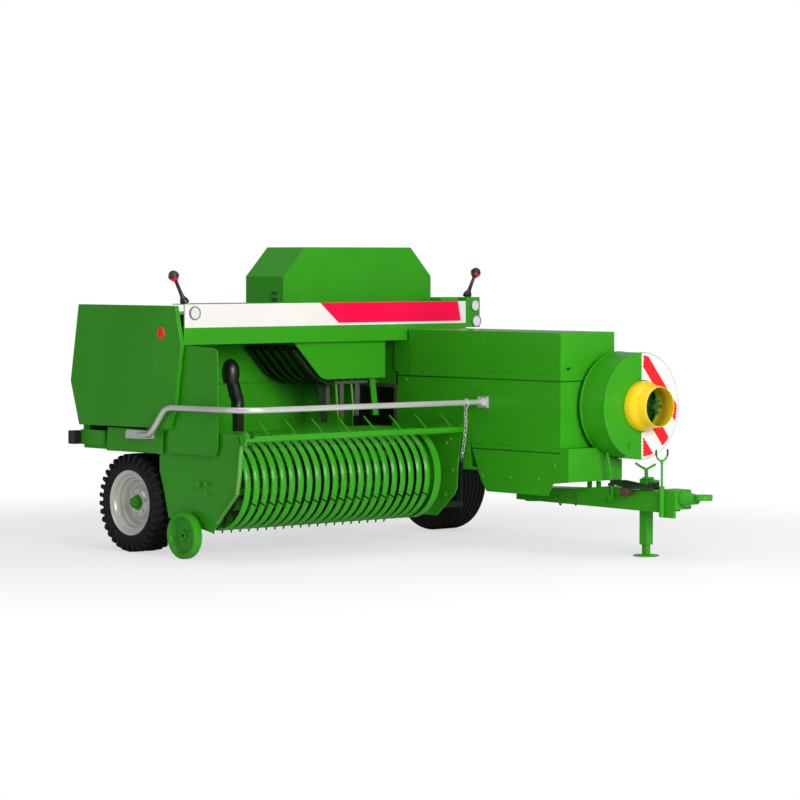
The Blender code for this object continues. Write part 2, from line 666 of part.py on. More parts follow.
def pto_guard():
    (rear, front), (wide, narrow) = CONE_X, CONE_R
    wall = 0.005
    profile = [(wide, rear), (wide, rear + 0.030), (wide - 0.006, rear + 0.070),
               (narrow + 0.006, front - 0.012), (narrow, front), (narrow - wall, front),
               (narrow - wall, front - 0.020), (wide - 0.014, rear + 0.066),
               (wide - wall - 0.001, rear + 0.028), (wide - wall - 0.001, rear)]
    node("pto_guard", turned(profile, "X", (DRIVE_Y, DRIVE_Z), 40), "yellow")


def flywheel():
    origin = (FLYWHEEL_X[0], DRIVE_Y, DRIVE_Z)
    rear, front = FLYWHEEL_X
    disc = turned([(0.0, rear), (FLYWHEEL_R, rear), (FLYWHEEL_R, front), (0.0, front)], "X",
                  (DRIVE_Y, DRIVE_Z), 40)
    hub = cylinder("X", (DRIVE_Y, DRIVE_Z), 0.045, front - 0.01, 2.290, 20)
    node("flywheel", weld(disc, hub), "green", origin)
    start = 2.290 + GAP
    stub = cylinder("X", (DRIVE_Y, DRIVE_Z), 0.038, start, 2.320, 16)
    ears = [box((2.310, 2.392), (DRIVE_Y - 0.018, DRIVE_Y + 0.018), (DRIVE_Z + s, DRIVE_Z + s + 0.014))
            for s in (-0.042, 0.028)]
    pin = cylinder("Z", (2.370, DRIVE_Y), 0.012, DRIVE_Z - 0.050, DRIVE_Z + 0.050, 12)
    cross = box((2.352, 2.388), (DRIVE_Y - 0.040, DRIVE_Y + 0.040), (DRIVE_Z - 0.012, DRIVE_Z + 0.012))
    node("pto_yoke", weld(stub, *ears, pin, cross), "green", origin)


# ---- knotters, needles, density control and chute ---------------------------
def knotters():
    (rear, front), (right, left) = HOOD_X, HOOD_Y
    shoulder, top = HOOD_Z
    base = DECK_Z + SHEET + GAP
    outline = [(right, base), (left, base), (left, shoulder), (left - HOOD_CHAMFER, top),
               (right + HOOD_CHAMFER, top), (right, shoulder)]
    shell = prism(outline, "X", rear, front)
    hollow = [(right + SHEET, base - 0.1), (left - SHEET, base - 0.1), (left - SHEET, shoulder),
              (left - HOOD_CHAMFER, top - SHEET), (right + HOOD_CHAMFER, top - SHEET),
              (right + SHEET, shoulder)]
    inner = prism(hollow, "X", rear + SHEET, front - SHEET)
    node("knotter_hood", cut(shell, inner), "green", (rear, 0.3, base))
    stand = [box((-0.110, front), (y, y + 0.010), (CHAMBER_TOP + GAP, DECK_Z - GAP))
             for y, front in ((0.478, BEAM_X[0] - 0.004), (0.917, 0.330))]
    shaft = cylinder("Y", (0.120, 1.280), 0.020, 0.480, 0.920, 16)
    pieces = [shaft]
    for y in NEEDLE_Y:
        pieces.append(cylinder("Y", (0.120, 1.280), 0.115, y - 0.062, y - 0.042, 24))
        pieces.append(box((0.090, 0.230), (y - 0.050, y - 0.020), (1.200, 1.300)))
        pieces.append(box((0.190, 0.230), (y - 0.045, y + 0.030), (1.150, 1.220)))
    node("knotter_frame", weld(stand[0], stand[1], *pieces), "green")


def needle_yoke():
    pivot_x, pivot_z = NEEDLE_PIVOT
    low = pivot_z - NEEDLE_R
    right, left = CHAMBER_RIGHT - 0.008, CHAMBER_LEFT + 0.008
    arms = [box((pivot_x - 0.020, pivot_x + 0.020), (right - 0.010, right), (low - 0.020, pivot_z + 0.02)),
            box((pivot_x - 0.020, pivot_x + 0.020), (left, left + 0.010), (low - 0.020, pivot_z + 0.02))]
    bar = box((pivot_x - 0.019, pivot_x + 0.019), (right - 0.005, left + 0.005),
              (low - 0.019, low + 0.019))
    pins = [cylinder("Y", NEEDLE_PIVOT, 0.015, right - 0.005, CHAMBER_RIGHT - GAP, 12),
            cylinder("Y", NEEDLE_PIVOT, 0.015, CHAMBER_LEFT + GAP, left + 0.005, 12)]
    needles = []
    for y in NEEDLE_Y:
        path = arc(NEEDLE_PIVOT, NEEDLE_R + 0.011, 270, 198, 12)
        needles.append(prism(ribbon(path, -0.022), "Y", y - 0.006, y + 0.006))
    node("needle_yoke", weld(bar, *arms, *pins, *needles), "green",
         (pivot_x, 0.7, pivot_z))


def density_control():
    right, left = CHAMBER_RIGHT, CHAMBER_LEFT
    rails = []
    for z in (CHAMBER_TOP - 0.010, CHAMBER_LOW - 0.020):
        rails.append(box((-1.580, -1.020), (0.560, 0.620), (z, z + 0.030)))
        rails.append(box((-1.580, -1.020), (0.785, 0.845), (z, z + 0.030)))
    bars = []
    for z in (1.060, 0.520):
        bars.append(box((TENSION_X - 0.030, TENSION_X + 0.030), (0.385, 1.020), (z, z + 0.050)))
    ties = []
    for z in (1.035, 0.560):
        for y in (0.590, 0.815):
            ties.append(box((TENSION_X - 0.02, TENSION_X + 0.02), (y - 0.01, y + 0.01), (z - 0.03, z + 0.04)))
    rods = []
    for y in (0.410, 0.995):
        rods.append(cylinder("Z", (TENSION_X, y), 0.011, 0.490, 1.420, 12))
        rods.append(cylinder("Z", (TENSION_X, y), 0.030, 1.130, 1.330, 16))
        rods.append(box((TENSION_X - 0.012, TENSION_X + 0.120), (y - 0.010, y + 0.010), (1.395, 1.412)))
    node("density_frame", weld(bars[0], bars[1], *rods, *rails, *ties), "green")
    for name, x in (("chamber_hoop_rear", -1.000), ("chamber_hoop_front", -0.620)):
        hoop = [box((x, x + 0.040), (right - 0.040, right - GAP), (0.560, 1.080)),
                box((x, x + 0.040), (left + GAP, left + 0.040), (0.560, 1.080)),
                box((x, x + 0.040), (right - 0.040, left + 0.040), (0.560, CHAMBER_LOW - GAP))]
        if name == "chamber_hoop_front":
            hoop.append(box((x, x + 0.040), (left + 0.010, 1.340), (0.690, 0.730)))
            hoop.append(box((x, x + 0.040), (1.250, 1.340), (0.665, 0.755)))
        node(name, weld(*hoop), "green")


def bale_chute():
    x, z = CHUTE_HINGE
    end = x - CHUTE_LENGTH
    right, left = CHAMBER_RIGHT - 0.025, CHAMBER_LEFT + 0.025
    floor = box((end, x - 0.038), (right, left), (z - 0.010, z))
    sides = []
    for y in (right, left - PLATE):
        sides.append(box((end, x - 0.033), (y, y + PLATE), (z - 0.010, z + 0.070)))
        sides.append(box((x - 0.060, x + 0.016), (y, y + PLATE), (z - 0.014, z + 0.014)))
    pins = [cylinder("Y", CHUTE_HINGE, 0.010, right + 0.004, right + 0.0117, 12),
            cylinder("Y", CHUTE_HINGE, 0.010, left - 0.0117, left - 0.004, 12)]
    lip = box((end, end + 0.03), (right, left), (z - 0.030, z))
    node("bale_chute", weld(floor, *sides, *pins, lip), "green", (x, 0.7, z))


# ---- guard rail and pickup ----------------------------------------------------
def guard_rail():
    y_out = RAIL_Y
    path = [(0.235, -1.402, 0.750), (0.275, -1.428, 0.760), (0.320, y_out, 0.785),
            (0.360, y_out, 0.825), (0.420, y_out, 0.893), (0.460, y_out, 0.921),
            (0.510, y_out, 0.932)]
    path += [(x, y, 0.936) for x, y in arc((1.060, y_out + 0.160), 0.160, -90, 0, 8)]
    path += [(RAIL_END_X, 0.440, 0.938)]
    rail = tube(path, RAIL_R, 12)
    flat = box((-0.020, 0.260), (-1.394, SIDE_Y - 0.010 - GAP), (0.720, 0.778))
    shoe = box((RAIL_END_X - 0.052, RAIL_END_X + 0.052), (0.425, CHAMBER_RIGHT - GAP), (0.897, 0.975))
    node("guard_rail", weld(rail, flat, shoe), "silver")


def pickup_frame():
    near = [(0.280, 0.780), (0.280, 0.530), (0.325, 0.400), (0.370, 0.240), (0.500, 0.215),
            (0.560, 0.110), (0.640, 0.110), (0.690, 0.190), (0.800, 0.172), (0.875, 0.232),
            (1.068, 0.420), (1.090, 0.550), (1.112, 0.745), (1.090, 0.780), (0.880, 0.790),
            (0.400, 0.790)]
    far = [(0.460, 0.780), (0.460, 0.240), (0.540, 0.190), (0.890, 0.190), (1.060, 0.335),
           (1.082, 0.375), (1.096, 0.553), (1.116, 0.691), (1.150, 0.745), (1.120, 0.790)]
    plates = [prism(near, "Y", PICKUP_NEAR, PICKUP_NEAR + PLATE),
              prism(far, "Y", PICKUP_FAR - PLATE, PICKUP_FAR)]
    span = (PICKUP_NEAR + 0.004, PICKUP_FAR - 0.004)
    tubes = [box((0.425, 0.485), span, (0.670, 0.730)), box((0.480, 0.540), span, (0.200, 0.245)),
             box((0.482, 0.487), span, (0.230, 0.6995))]
    arms = []
    for y in PICKUP_ARMS:
        arms.append(box((PICKUP_PIVOT[0] - 0.020, 0.450), (y, y + 0.040), (0.640, 0.690)))
    pins = [cylinder("Y", PICKUP_PIVOT, 0.016, y - 0.02, y + 0.06, 12) for y in PICKUP_ARMS]
    gx, gy, gz = GAUGE_CENTRE
    spindle = cylinder("Y", (gx, gz), 0.012, gy + 0.026 + GAP, PICKUP_NEAR + 0.004, 12)
    node("pickup_frame", weld(*tubes, *plates, *arms, *pins, spindle), "green",
         (PICKUP_PIVOT[0], -0.45, PICKUP_PIVOT[1]))


def band_path(radius):
    cx, cz = BAND_CENTRE
    path = [(0.500, cz + radius)] + arc(BAND_CENTRE, radius, 90, -100, 12)
    return path + [(0.552, cz - radius + 0.010)]


def pickup_bands():
    outline = ribbon(band_path(BAND_R), -0.006)
    strips = []
    for i in range(BAND_COUNT):
        y = BAND_FIRST + BAND_PITCH * i
        strips.append(prism(outline, "Y", y, y + BAND_WIDTH))
    strips.append(prism(outline, "Y", *WIDE_BAND))
    span = (BAND_FIRST, WIDE_BAND[1])
    top = box((0.4853, 0.510), span, (0.700, BAND_CENTRE[1] + BAND_R))
    low = box((0.5403, 0.560), span, (0.193, 0.240))
    closing = ribbon(band_path(BAND_R - 0.003), -0.060)
    end = prism(closing, "Y", WIDE_BAND[1] - 0.006, WIDE_BAND[1])
    node("pickup_bands", weld(top, gather(strips), low, end), "green",
         (PICKUP_PIVOT[0], -0.45, PICKUP_PIVOT[1]))


def pickup_reel():
    cx, cz = REEL_CENTRE
    start, end = -1.336, WIDE_BAND[1] - 0.015
    pieces = []
    for i in range(4):
        turn = 90 * i + 20
        bar = box((cx + REEL_BAR_R - 0.012, cx + REEL_BAR_R + 0.012), (start + 0.006, end - 0.03),
                  (cz - 0.012, cz + 0.012))
        pieces.append(turn_piece(bar, (cx, 0, cz), "Y", turn))
    tines = []
    for i in range(4):
        for k in range(BAND_COUNT - 1):
            y = BAND_FIRST + BAND_PITCH * k + (BAND_PITCH + BAND_WIDTH) / 2
            tine = box((cx + REEL_BAR_R, cx + REEL_TINE_R), (y - 0.003, y + 0.003),
                       (cz - 0.004, cz + 0.004))
            tines.append(turn_piece(tine, (cx, 0, cz), "Y", 90 * i + 20))
    discs = [cylinder("Y", (cx, cz), REEL_BAR_R + 0.020, y, y + 0.006, 20)
             for y in (start, -0.540, end - 0.036)]
    shaft = cylinder("Y", (cx, cz), 0.028, start + 0.003, end, 12)
    node("pickup_reel", weld(shaft, *discs, *pieces, gather(tines)), "green", (cx, -0.5, cz))


def wind_guard():
    x, z = WIND_BAR
    bar = cylinder("Y", (x, z - 0.003), 0.021, -1.372, PICKUP_FAR - PLATE - GAP, 12)
    rods = []
    for i in range(8):
        y = -1.160 + 0.215 * i
        rods.append(tube([(x, y, z), (x - 0.060, y, z + 0.052), (x - 0.125, y, z + 0.100)],
                         0.005, 6))
    strap = box((x - 0.060, x + 0.010), (-1.372, PICKUP_NEAR - GAP), (z - 0.040, z + 0.024))
    node("wind_guard", weld(bar, *rods, strap), "green",
         (PICKUP_PIVOT[0], -0.45, PICKUP_PIVOT[1]))


def gauge_wheel():
    x, y, z = GAUGE_CENTRE
    # radius, offset towards the outer side
    section = [(0.0, 0.026), (0.030, 0.026), (0.034, 0.012), (0.085, 0.004), (0.104, 0.016),
               (0.118, 0.036), (0.134, 0.040), (z, 0.024), (z, -0.014), (0.136, -0.026),
               (0.120, -0.024), (0.098, -0.006), (0.034, -0.004), (0.030, -0.026), (0.0, -0.026)]
    profile = [(r, y - s) for r, s in section]
    node("gauge_wheel", turned(profile, "Y", (x, z), 32), "green", GAUGE_CENTRE)


# ---- drawbar --------------------------------------------------------------------
def drawbar():
    right, left = DRAWBAR_Y - DRAWBAR_W / 2, DRAWBAR_Y + DRAWBAR_W / 2
    outline = [(1.270, 0.300), (2.560, 0.287), (2.560, 0.412), (2.070, 0.424), (1.800, 0.396),
               (1.270, 0.380)]
    bore = prism(inset(outline, PLATE), "Y", right + PLATE, left - PLATE)
    mouth = box((1.200, 1.300), (right + PLATE, left - PLATE), (0.310, 0.370))
    beam = cut(prism(outline, "Y", right, left), bore, mouth)
    block = box((2.540, 2.680), (right - 0.004, left - 0.030), (0.310, 0.430))
    bracket = box((2.545, 2.665), (right - 0.004, right + 0.020), (0.258, 0.330))
    socket = cylinder("Z", HOOK, 0.017, 0.262, 0.452, 16)
    well = box((JACK_X - 0.0306, JACK_X + 0.0306), (DRAWBAR_Y - 0.0306, DRAWBAR_Y + 0.0306), (0.2, 0.5))
    boss = cylinder("Z", (DRAWBAR_PIVOT, DRAWBAR_Y), 0.060, 0.290, 0.455, 20)
    rod = tube([(2.145, right - 0.008, 0.340), (2.145, right - 0.008, 0.420), (2.140, 0.735, 0.640)],
               0.009, 8)
    clamp = box((2.115, 2.170), (right - 0.018, right + 0.004), (0.335, 0.372))
    ears = [box((1.900 + s, 1.925 + s), (0.800, 0.820), (0.400, 0.452)) for s in (0.0, 0.080)]
    origin = (DRAWBAR_PIVOT, DRAWBAR_Y, 0.35)
    node("drawbar", weld(cut(beam, well), block, bracket, socket, boss, rod, clamp, *ears), "green", origin)
    pin = cylinder("Z", (DRAWBAR_PIVOT, DRAWBAR_Y), 0.035, 0.4553, 0.520, 16)
    shelf = box((1.250, 1.500), (0.472, 0.930), (0.500, 0.520))
    riser = [box((1.300, 1.460), (y, y + 0.010), (0.500, HOUSING_LOW - GAP)) for y in (0.472, 0.920)]
    # the housing's floor ends ahead of the skirt, so the hanger reaches up to it behind that edge
    hanger = box((1.100, 1.168), (0.472, 0.930), (0.500, CHAMBER_LOW - GAP))
    bridge = box((1.100, 1.300), (0.472, 0.930), (0.500, 0.520))
    node("drawbar_hanger", weld(shelf, pin, bridge, hanger, *riser), "green")
    hitch_eye(origin)
    x, y = HOOK
    stem = tube([(x, y, 0.4523), (x, y, 0.600)], 0.007, 8)
    bow = tube([(x, y + u, 0.660 + w) for u, w in arc((0, 0), 0.052, 160, 380, 12)], 0.006, 8)
    neck = cylinder("Z", HOOK, 0.009, 0.590, 0.616, 8)
    node("pto_support_hook", weld(stem, bow, neck), "green", origin)


def hitch_eye(origin):
    thick = 0.017
    ring = turned([(0.027, EYE_Z - thick), (EYE_R, EYE_Z - thick), (EYE_R, EYE_Z + thick),
                   (0.027, EYE_Z + thick)], "Z", (EYE_X, DRAWBAR_Y), 28)
    nose = turned([(0.0, 2.6803), (0.050, 2.6803), (0.050, 2.712), (0.038, 2.738),
                   (0.030, EYE_X - 0.040), (0.0, EYE_X - 0.040)], "X", (DRAWBAR_Y - 0.015, EYE_Z - 0.012), 24)
    neck = box((2.720, EYE_X - 0.035), (DRAWBAR_Y - 0.028, DRAWBAR_Y + 0.020), (EYE_Z - 0.016, EYE_Z + 0.016))
    node("hitch_eye", weld(nose, neck, ring), "green", origin)


def jack():
    x, y = JACK_X, DRAWBAR_Y
    origin = (x, y, 0.3)
    half = 0.030
    wall = 0.004
    outer = box((x - half, x + half), (y - half, y + half), (0.072, 0.470))
    bore = box((x - half + wall, x + half - wall), (y - half + wall, y + half - wall), (0.0, 0.456))
    side = box((x + half - 0.002, x + half + 0.030), (y - 0.022, y + 0.022), (0.436, 0.480))
    cap = box((x - half, x + half), (y - half, y + half), (0.460, 0.482))
    node("jack_tube", weld(cut(outer, bore), cap, side), "green", origin)
    inner = 0.0195
    post = box((x - inner, x + inner), (y - inner, y + inner), (0.006, 0.400))
    foot = turned([(0.0, 0.0), (0.080, 0.0), (0.083, 0.004), (0.078, 0.008), (0.028, 0.014),
                   (0.0, 0.014)], "Z", (x, y), 24)
    node("jack_leg", weld(post, foot), "green", origin)
    stem = cylinder("Z", (x, y), 0.012, 0.482 + GAP, 0.545, 10)
    crank = tube([(x, y - 0.095, 0.583), (x, y - 0.050, 0.560), (x, y, 0.540), (x, y + 0.045, 0.556),
                  (x, y + 0.080, 0.568)], 0.008, 8)
    node("jack_crank", weld(stem, crank), "green", origin)


def build():
    clear_scene()
    wheel("right", -1)
    wheel("left", 1)
    axle()
    main_frame()
    front_beam()
    front_lamps()
    marker_lamps()
    side_panel()
    right_side_plates()
    twine_box()
    rear_lamps()
    feed_chamber()
    packer()
    crop_horn()
    bale_chamber()
    plunger()
    plunger_housing()
    housing_lid()
    chamber_skirt()
    gearbox()
    flywheel_cover()
    pto_guard()
    flywheel()
    knotters()
    needle_yoke()
    density_control()
    bale_chute()
    guard_rail()
    pickup_frame()
    pickup_bands()
    pickup_reel()
    wind_guard()
    gauge_wheel()
    drawbar()
    jack()
    baler = bpy.data.objects.new("baler", None)
    for obj in list(bpy.context.scene.collection.objects):
        obj.parent = baler
    bpy.context.scene.collection.objects.link(baler)
    baler.location = (-CENTRE_X, -CENTRE_Y, 0.0)


build()
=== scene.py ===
"""Looks of a towed square baler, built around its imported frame.

Places are metres from the middle of the wheel axle at ground level: +X is the direction
of travel, +Y the machine's left and +Z up. piece() moves them into the frame.
"""
import math

import bmesh
import bpy
from mathutils import Matrix, Vector


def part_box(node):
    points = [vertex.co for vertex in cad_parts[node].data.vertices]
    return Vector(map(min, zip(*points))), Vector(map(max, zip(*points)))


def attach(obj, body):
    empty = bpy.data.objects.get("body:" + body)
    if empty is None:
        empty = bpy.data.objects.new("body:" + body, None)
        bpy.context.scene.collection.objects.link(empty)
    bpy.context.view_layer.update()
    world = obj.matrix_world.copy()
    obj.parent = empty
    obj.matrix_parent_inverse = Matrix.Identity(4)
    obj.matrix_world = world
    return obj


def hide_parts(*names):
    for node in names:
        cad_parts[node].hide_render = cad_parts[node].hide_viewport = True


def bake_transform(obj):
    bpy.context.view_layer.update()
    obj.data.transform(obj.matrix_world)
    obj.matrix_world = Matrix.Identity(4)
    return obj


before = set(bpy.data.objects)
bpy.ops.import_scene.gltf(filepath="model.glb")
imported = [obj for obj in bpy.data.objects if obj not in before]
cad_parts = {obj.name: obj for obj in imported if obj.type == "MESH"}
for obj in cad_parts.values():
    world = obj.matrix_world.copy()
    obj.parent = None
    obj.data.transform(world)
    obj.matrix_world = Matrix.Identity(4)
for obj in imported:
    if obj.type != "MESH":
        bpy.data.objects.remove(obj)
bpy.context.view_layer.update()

AIR = 0.0002                     # gap between a face and what is laid on it
SIDE_Y = -1.408                  # outer face of the right side panel
END_PLATE_Y = -1.3720            # outer face of the pickup's right end plate
REAR_COVER_X = -0.508            # back of the rear cover
BEAM_FRONT = 0.560               # front face of the front beam
BEAM_TOP = 1.572
HOOD_Y = (-0.348, 0.933)         # right and left face of the knotter hood
CHAMBER_LEFT = 0.953             # outer face of the bale chamber's left wall
DRIVE = (0.930, 0.930)           # Y and Z of the input shaft
DRUM_R = 0.335                   # flywheel cover
DRUM_X = (2.037, 2.247)          # its back and front
HOUSING_X = (0.480, 2.000)       # plunger housing: back and front, right and left, top
HOUSING_Y = (0.465, 0.940)
HOUSING_TOP = 1.112
BAND_CENTRE = (0.820, 0.475)     # X and Z of the pickup bands' bend
BAND_R = 0.292
BAND_FIRST = -1.330              # right edge of the first band
BAND_PITCH = 0.070
BAND_WIDTH = 0.046
BAND_COUNT = 22
DRAWBAR_TOP = 0.436              # height of what lies on the drawbar


def link(obj):
    bpy.context.scene.collection.objects.link(obj)


def axle_origin():
    right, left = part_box("tyre_right"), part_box("tyre_left")
    middle = (right[0] + right[1] + left[0] + left[1]) / 4
    return Vector((middle.x, middle.y, 0.0))


ORIGIN = axle_origin()


# ---- materials
def add_node(nodes, kind, **values):
    """New shader node with its inputs set; an underscore stands for a space in an input's name."""
    node = nodes.new("ShaderNode" + kind)
    for name, value in values.items():
        node.inputs[name.replace("_", " ")].default_value = value
    return node


def colour_mix(nodes, colour):
    """Mix node whose second colour is set."""
    mix = nodes.new("ShaderNodeMix")
    mix.data_type = "RGBA"
    mix.inputs["B"].default_value = (*colour, 1)
    return mix


def material(name, colour, roughness, metallic=0.0, coat=0.0, vary=0.12, grain=0.0, grain_scale=300.0,
             dust=0.0, specular=0.5):
    """Paint, metal, rubber or plastic with cloudy colour, uneven gloss and a fine bump."""
    made = bpy.data.materials.new(name)
    made.use_nodes = True
    nodes, links = made.node_tree.nodes, made.node_tree.links
    shader = nodes["Principled BSDF"]
    shader.inputs["Metallic"].default_value = metallic
    shader.inputs["Coat Weight"].default_value = coat
    shader.inputs["Coat Roughness"].default_value = 0.08
    shader.inputs["Specular IOR Level"].default_value = specular
    coords = add_node(nodes, "TexCoord")
    cloud = add_node(nodes, "TexNoise", Scale=2.2, Detail=5.0)
    links.new(coords.outputs["Object"], cloud.inputs["Vector"])
    tone = add_node(nodes, "ValToRGB")
    for end, position, share in ((0, 0.30, 1 - vary), (1, 0.72, 1 + vary)):
        tone.color_ramp.elements[end].position = position
        tone.color_ramp.elements[end].color = (*[min(1, c * share) for c in colour], 1)
    links.new(cloud.outputs["Fac"], tone.inputs["Fac"])
    shade = tone.outputs["Color"]
    if dust:
        specks = add_node(nodes, "TexNoise", Scale=40.0, Detail=8.0)
        links.new(coords.outputs["Object"], specks.inputs["Vector"])
        cover = add_node(nodes, "MapRange", From_Min=0.52, From_Max=0.75, To_Max=dust)
        links.new(specks.outputs["Fac"], cover.inputs["Value"])
        mix = colour_mix(nodes, (0.30, 0.27, 0.22))
        links.new(cover.outputs["Result"], mix.inputs["Factor"])
        links.new(shade, mix.inputs["A"])
        shade = mix.outputs["Result"]
    links.new(shade, shader.inputs["Base Color"])
    gloss = add_node(nodes, "MapRange", To_Min=max(0.03, roughness - 0.07), To_Max=roughness + 0.07)
    links.new(cloud.outputs["Fac"], gloss.inputs["Value"])
    links.new(gloss.outputs["Result"], shader.inputs["Roughness"])
    if grain:
        fine = add_node(nodes, "TexNoise", Scale=grain_scale, Detail=3.0)
        links.new(coords.outputs["Object"], fine.inputs["Vector"])
        bump = add_node(nodes, "Bump", Strength=grain, Distance=0.001)
        links.new(fine.outputs["Fac"], bump.inputs["Height"])
        links.new(bump.outputs["Normal"], shader.inputs["Normal"])
    return made


GREEN = material("green_paint", (0.034, 0.315, 0.009), 0.26, coat=0.05, vary=0.07, grain=0.03,
                 grain_scale=70, specular=0.22)
# darker green paint; on the feeder floor it is painted shade for the shadow the floor lies in
DARK_GREEN_AND_SHADE = material("dark_green_paint_and_painted_shade", (0.012, 0.090, 0.010), 0.42, vary=0.2, grain=0.15, specular=0.3)
SILVER = material("rim_silver_paint", (0.64, 0.62, 0.58), 0.34, metallic=0.35, vary=0.05, grain=0.1)
ZINC = material("zinc_tube", (0.66, 0.64, 0.65), 0.32, metallic=0.55, vary=0.10, grain=0.2, grain_scale=120)
RUBBER = material("tyre_rubber", (0.009, 0.009, 0.009), 0.70, vary=0.25, grain=0.4, grain_scale=500,
                  dust=0.05, specular=0.22)
BLACK = material("black_plastic", (0.009, 0.009, 0.010), 0.36, vary=0.2, grain=0.2, grain_scale=600)
# near-black paint, also used as painted shade: the shadow line under the lid's lip and the latch hole
DARK_PAINT_AND_SHADE = material("dark_paint", (0.010, 0.018, 0.008), 0.42, vary=0.3, grain=0.2, specular=0.4)
STEEL = material("worn_steel", (0.17, 0.18, 0.16), 0.42, metallic=0.6, vary=0.25, grain=0.3, grain_scale=90)
WHITE = material("white_film", (0.82, 0.77, 0.75), 0.35, vary=0.02, specular=0.3)
CRIMSON = material("crimson_film", (0.94, 0.001, 0.060), 0.35, vary=0.03, specular=0.2)
RED = material("red_reflective_film", (0.93, 0.012, 0.020), 0.40, vary=0.05, grain=0.1, grain_scale=900,
               specular=0.25)
YELLOW = material("yellow_plastic", (0.96, 0.64, 0.012), 0.30, vary=0.04, grain=0.1, specular=0.4)
ORANGE = material("orange_lens", (0.90, 0.10, 0.010), 0.25, coat=0.5, vary=0.1)
LENS = material("lamp_lens", (0.74, 0.74, 0.74), 0.12, coat=0.8, vary=0.05)
BROWN = material("brown_plastic", (0.060, 0.028, 0.014), 0.45, vary=0.2)
GREY = material("grey_sheet", (0.22, 0.22, 0.21), 0.40, metallic=0.3, vary=0.20, grain=0.2)
GUNMETAL = material("dark_grey_sheet", (0.100, 0.096, 0.078), 0.45, metallic=0.2, vary=0.35, grain=0.3)
PALE_GREEN = material("pale_green_rod", (0.10, 0.34, 0.045), 0.30, vary=0.12, specular=0.6)


# ---- shape helpers
def add_box(bm, x, y, z, index=0):
    corners = [bm.verts.new((a, b, c)) for a in x for b in y for c in z]
    for face in ((0, 1, 3, 2), (4, 6, 7, 5), (0, 4, 5, 1), (2, 3, 7, 6), (0, 2, 6, 4), (1, 5, 7, 3)):
        bm.faces.new([corners[i] for i in face]).material_index = index


def place(axis, u, v, w):
    """Point with w along the axis and (u, v) on the other two, in X, Y, Z order."""
    if axis == "X":
        return Vector((w, u, v))
    if axis == "Y":
        return Vector((u, w, v))
    return Vector((u, v, w))


def cap(bm, rings, index=0):
    bm.faces.new(rings[0]).material_index = index
    bm.faces.new(rings[-1][::-1]).material_index = index


def bridge(bm, rings, index=0):
    """Faces between each ring of points and the next."""
    count = len(rings[0])
    for one, two in zip(rings, rings[1:]):
        for k in range(count):
            n = (k + 1) % count
            bm.faces.new((one[k], one[n], two[n], two[k])).material_index = index


def add_prism(bm, outline, axis, low, high, index=0):
    rings = [[bm.verts.new(place(axis, u, v, w)) for u, v in outline] for w in (low, high)]
    cap(bm, rings, index)
    bridge(bm, rings, index)


def rounded(u, v, radius, steps=5):
    """Outline of a rectangle with round corners."""
    outline = []
    corners = ((u[1], v[1], 0), (u[0], v[1], 90), (u[0], v[0], 180), (u[1], v[0], 270))
    for cu, cv, start in corners:
        mu = cu - math.copysign(radius, cu - sum(u) / 2)
        mv = cv - math.copysign(radius, cv - sum(v) / 2)
        for k in range(steps + 1):
            angle = math.radians(start + 90 * k / steps)
            outline.append((mu + radius * math.cos(angle), mv + radius * math.sin(angle)))
    return outline


def add_lathe(bm, profile, axis, centre, sides=64, index=0, closed=True):
    """Turned piece; the profile is (radius, place along the axis)."""
    rings = []
    for radius, along in profile:
        if radius < 1e-6:
            rings.append([bm.verts.new(place(axis, *centre, along))] * sides)
            continue
        ring = []
        for k in range(sides):
            angle = math.tau * k / sides
            u = centre[0] + radius * math.cos(angle)
            v = centre[1] + radius * math.sin(angle)
            ring.append(bm.verts.new(place(axis, u, v, along)))
        rings.append(ring)
    pairs = list(zip(rings, rings[1:]))
    if closed and profile[0][0] > 1e-6:
        pairs.append((rings[-1], rings[0]))
    for one, two in pairs:
        for k in range(sides):
            n = (k + 1) % sides
            corners = list(dict.fromkeys((one[k], one[n], two[n], two[k])))
            if len(corners) > 2:
                bm.faces.new(corners).material_index = index


def add_tube(bm, path, radius, sides=12, index=0):
    points = [Vector(p) for p in path]
    rings = []
    up = None
    for i, point in enumerate(points):
        ahead = (points[min(i + 1, len(points) - 1)] - points[max(i - 1, 0)]).normalized()
        if up is None:
            up = ahead.orthogonal().normalized()
        up = (up - ahead * up.dot(ahead)).normalized()
        side = ahead.cross(up)
        ring = []
        for k in range(sides):
            angle = math.tau * k / sides
            ring.append(bm.verts.new(point + radius * (math.cos(angle) * up + math.sin(angle) * side)))
        rings.append(ring)
    bridge(bm, rings, index)
    cap(bm, rings, index)


def hoop(x, y, z, wide, high, count):
    """Closed path round an ellipse in the X-Z plane."""
    angles = [math.tau * k / count for k in range(count + 1)]
    return [(x + wide * math.cos(a), y, z + high * math.sin(a)) for a in angles]


def smooth_path(points, steps=8):
    """Points of a Catmull-Rom curve through the given ones."""
    p = [Vector(q) for q in points]
    p = [p[0] * 2 - p[1]] + p + [p[-1] * 2 - p[-2]]
    path = []
    for a, b, c, d in zip(p, p[1:], p[2:], p[3:]):
        for k in range(steps):
            t = k / steps
            path.append(0.5 * (2 * b + (c - a) * t + (2 * a - 5 * b + 4 * c - d) * t * t
                               + (3 * b - a - 3 * c + d) * t ** 3))
    return path + [p[-2]]


def add_bolt(bm, centre, axis, way, radius=0.009, index=0):
    """Washer and hexagon head on a face that looks along way (+1 or -1) on the axis."""
    w = "XYZ".index(axis)
    others = [c for i, c in enumerate(centre) if i != w]
    base = centre[w]
    layers = [(radius * 1.5, 0.0015, 20), (radius, 0.0015 + radius * 0.65, 6)]
    for size, height, sides in layers:
        outline = []
        for k in range(sides):
            angle = math.tau * (k + 0.5) / sides
            outline.append((others[0] + size * math.cos(angle), others[1] + size * math.sin(angle)))
        add_prism(bm, outline, axis, base, base + way * height, index)


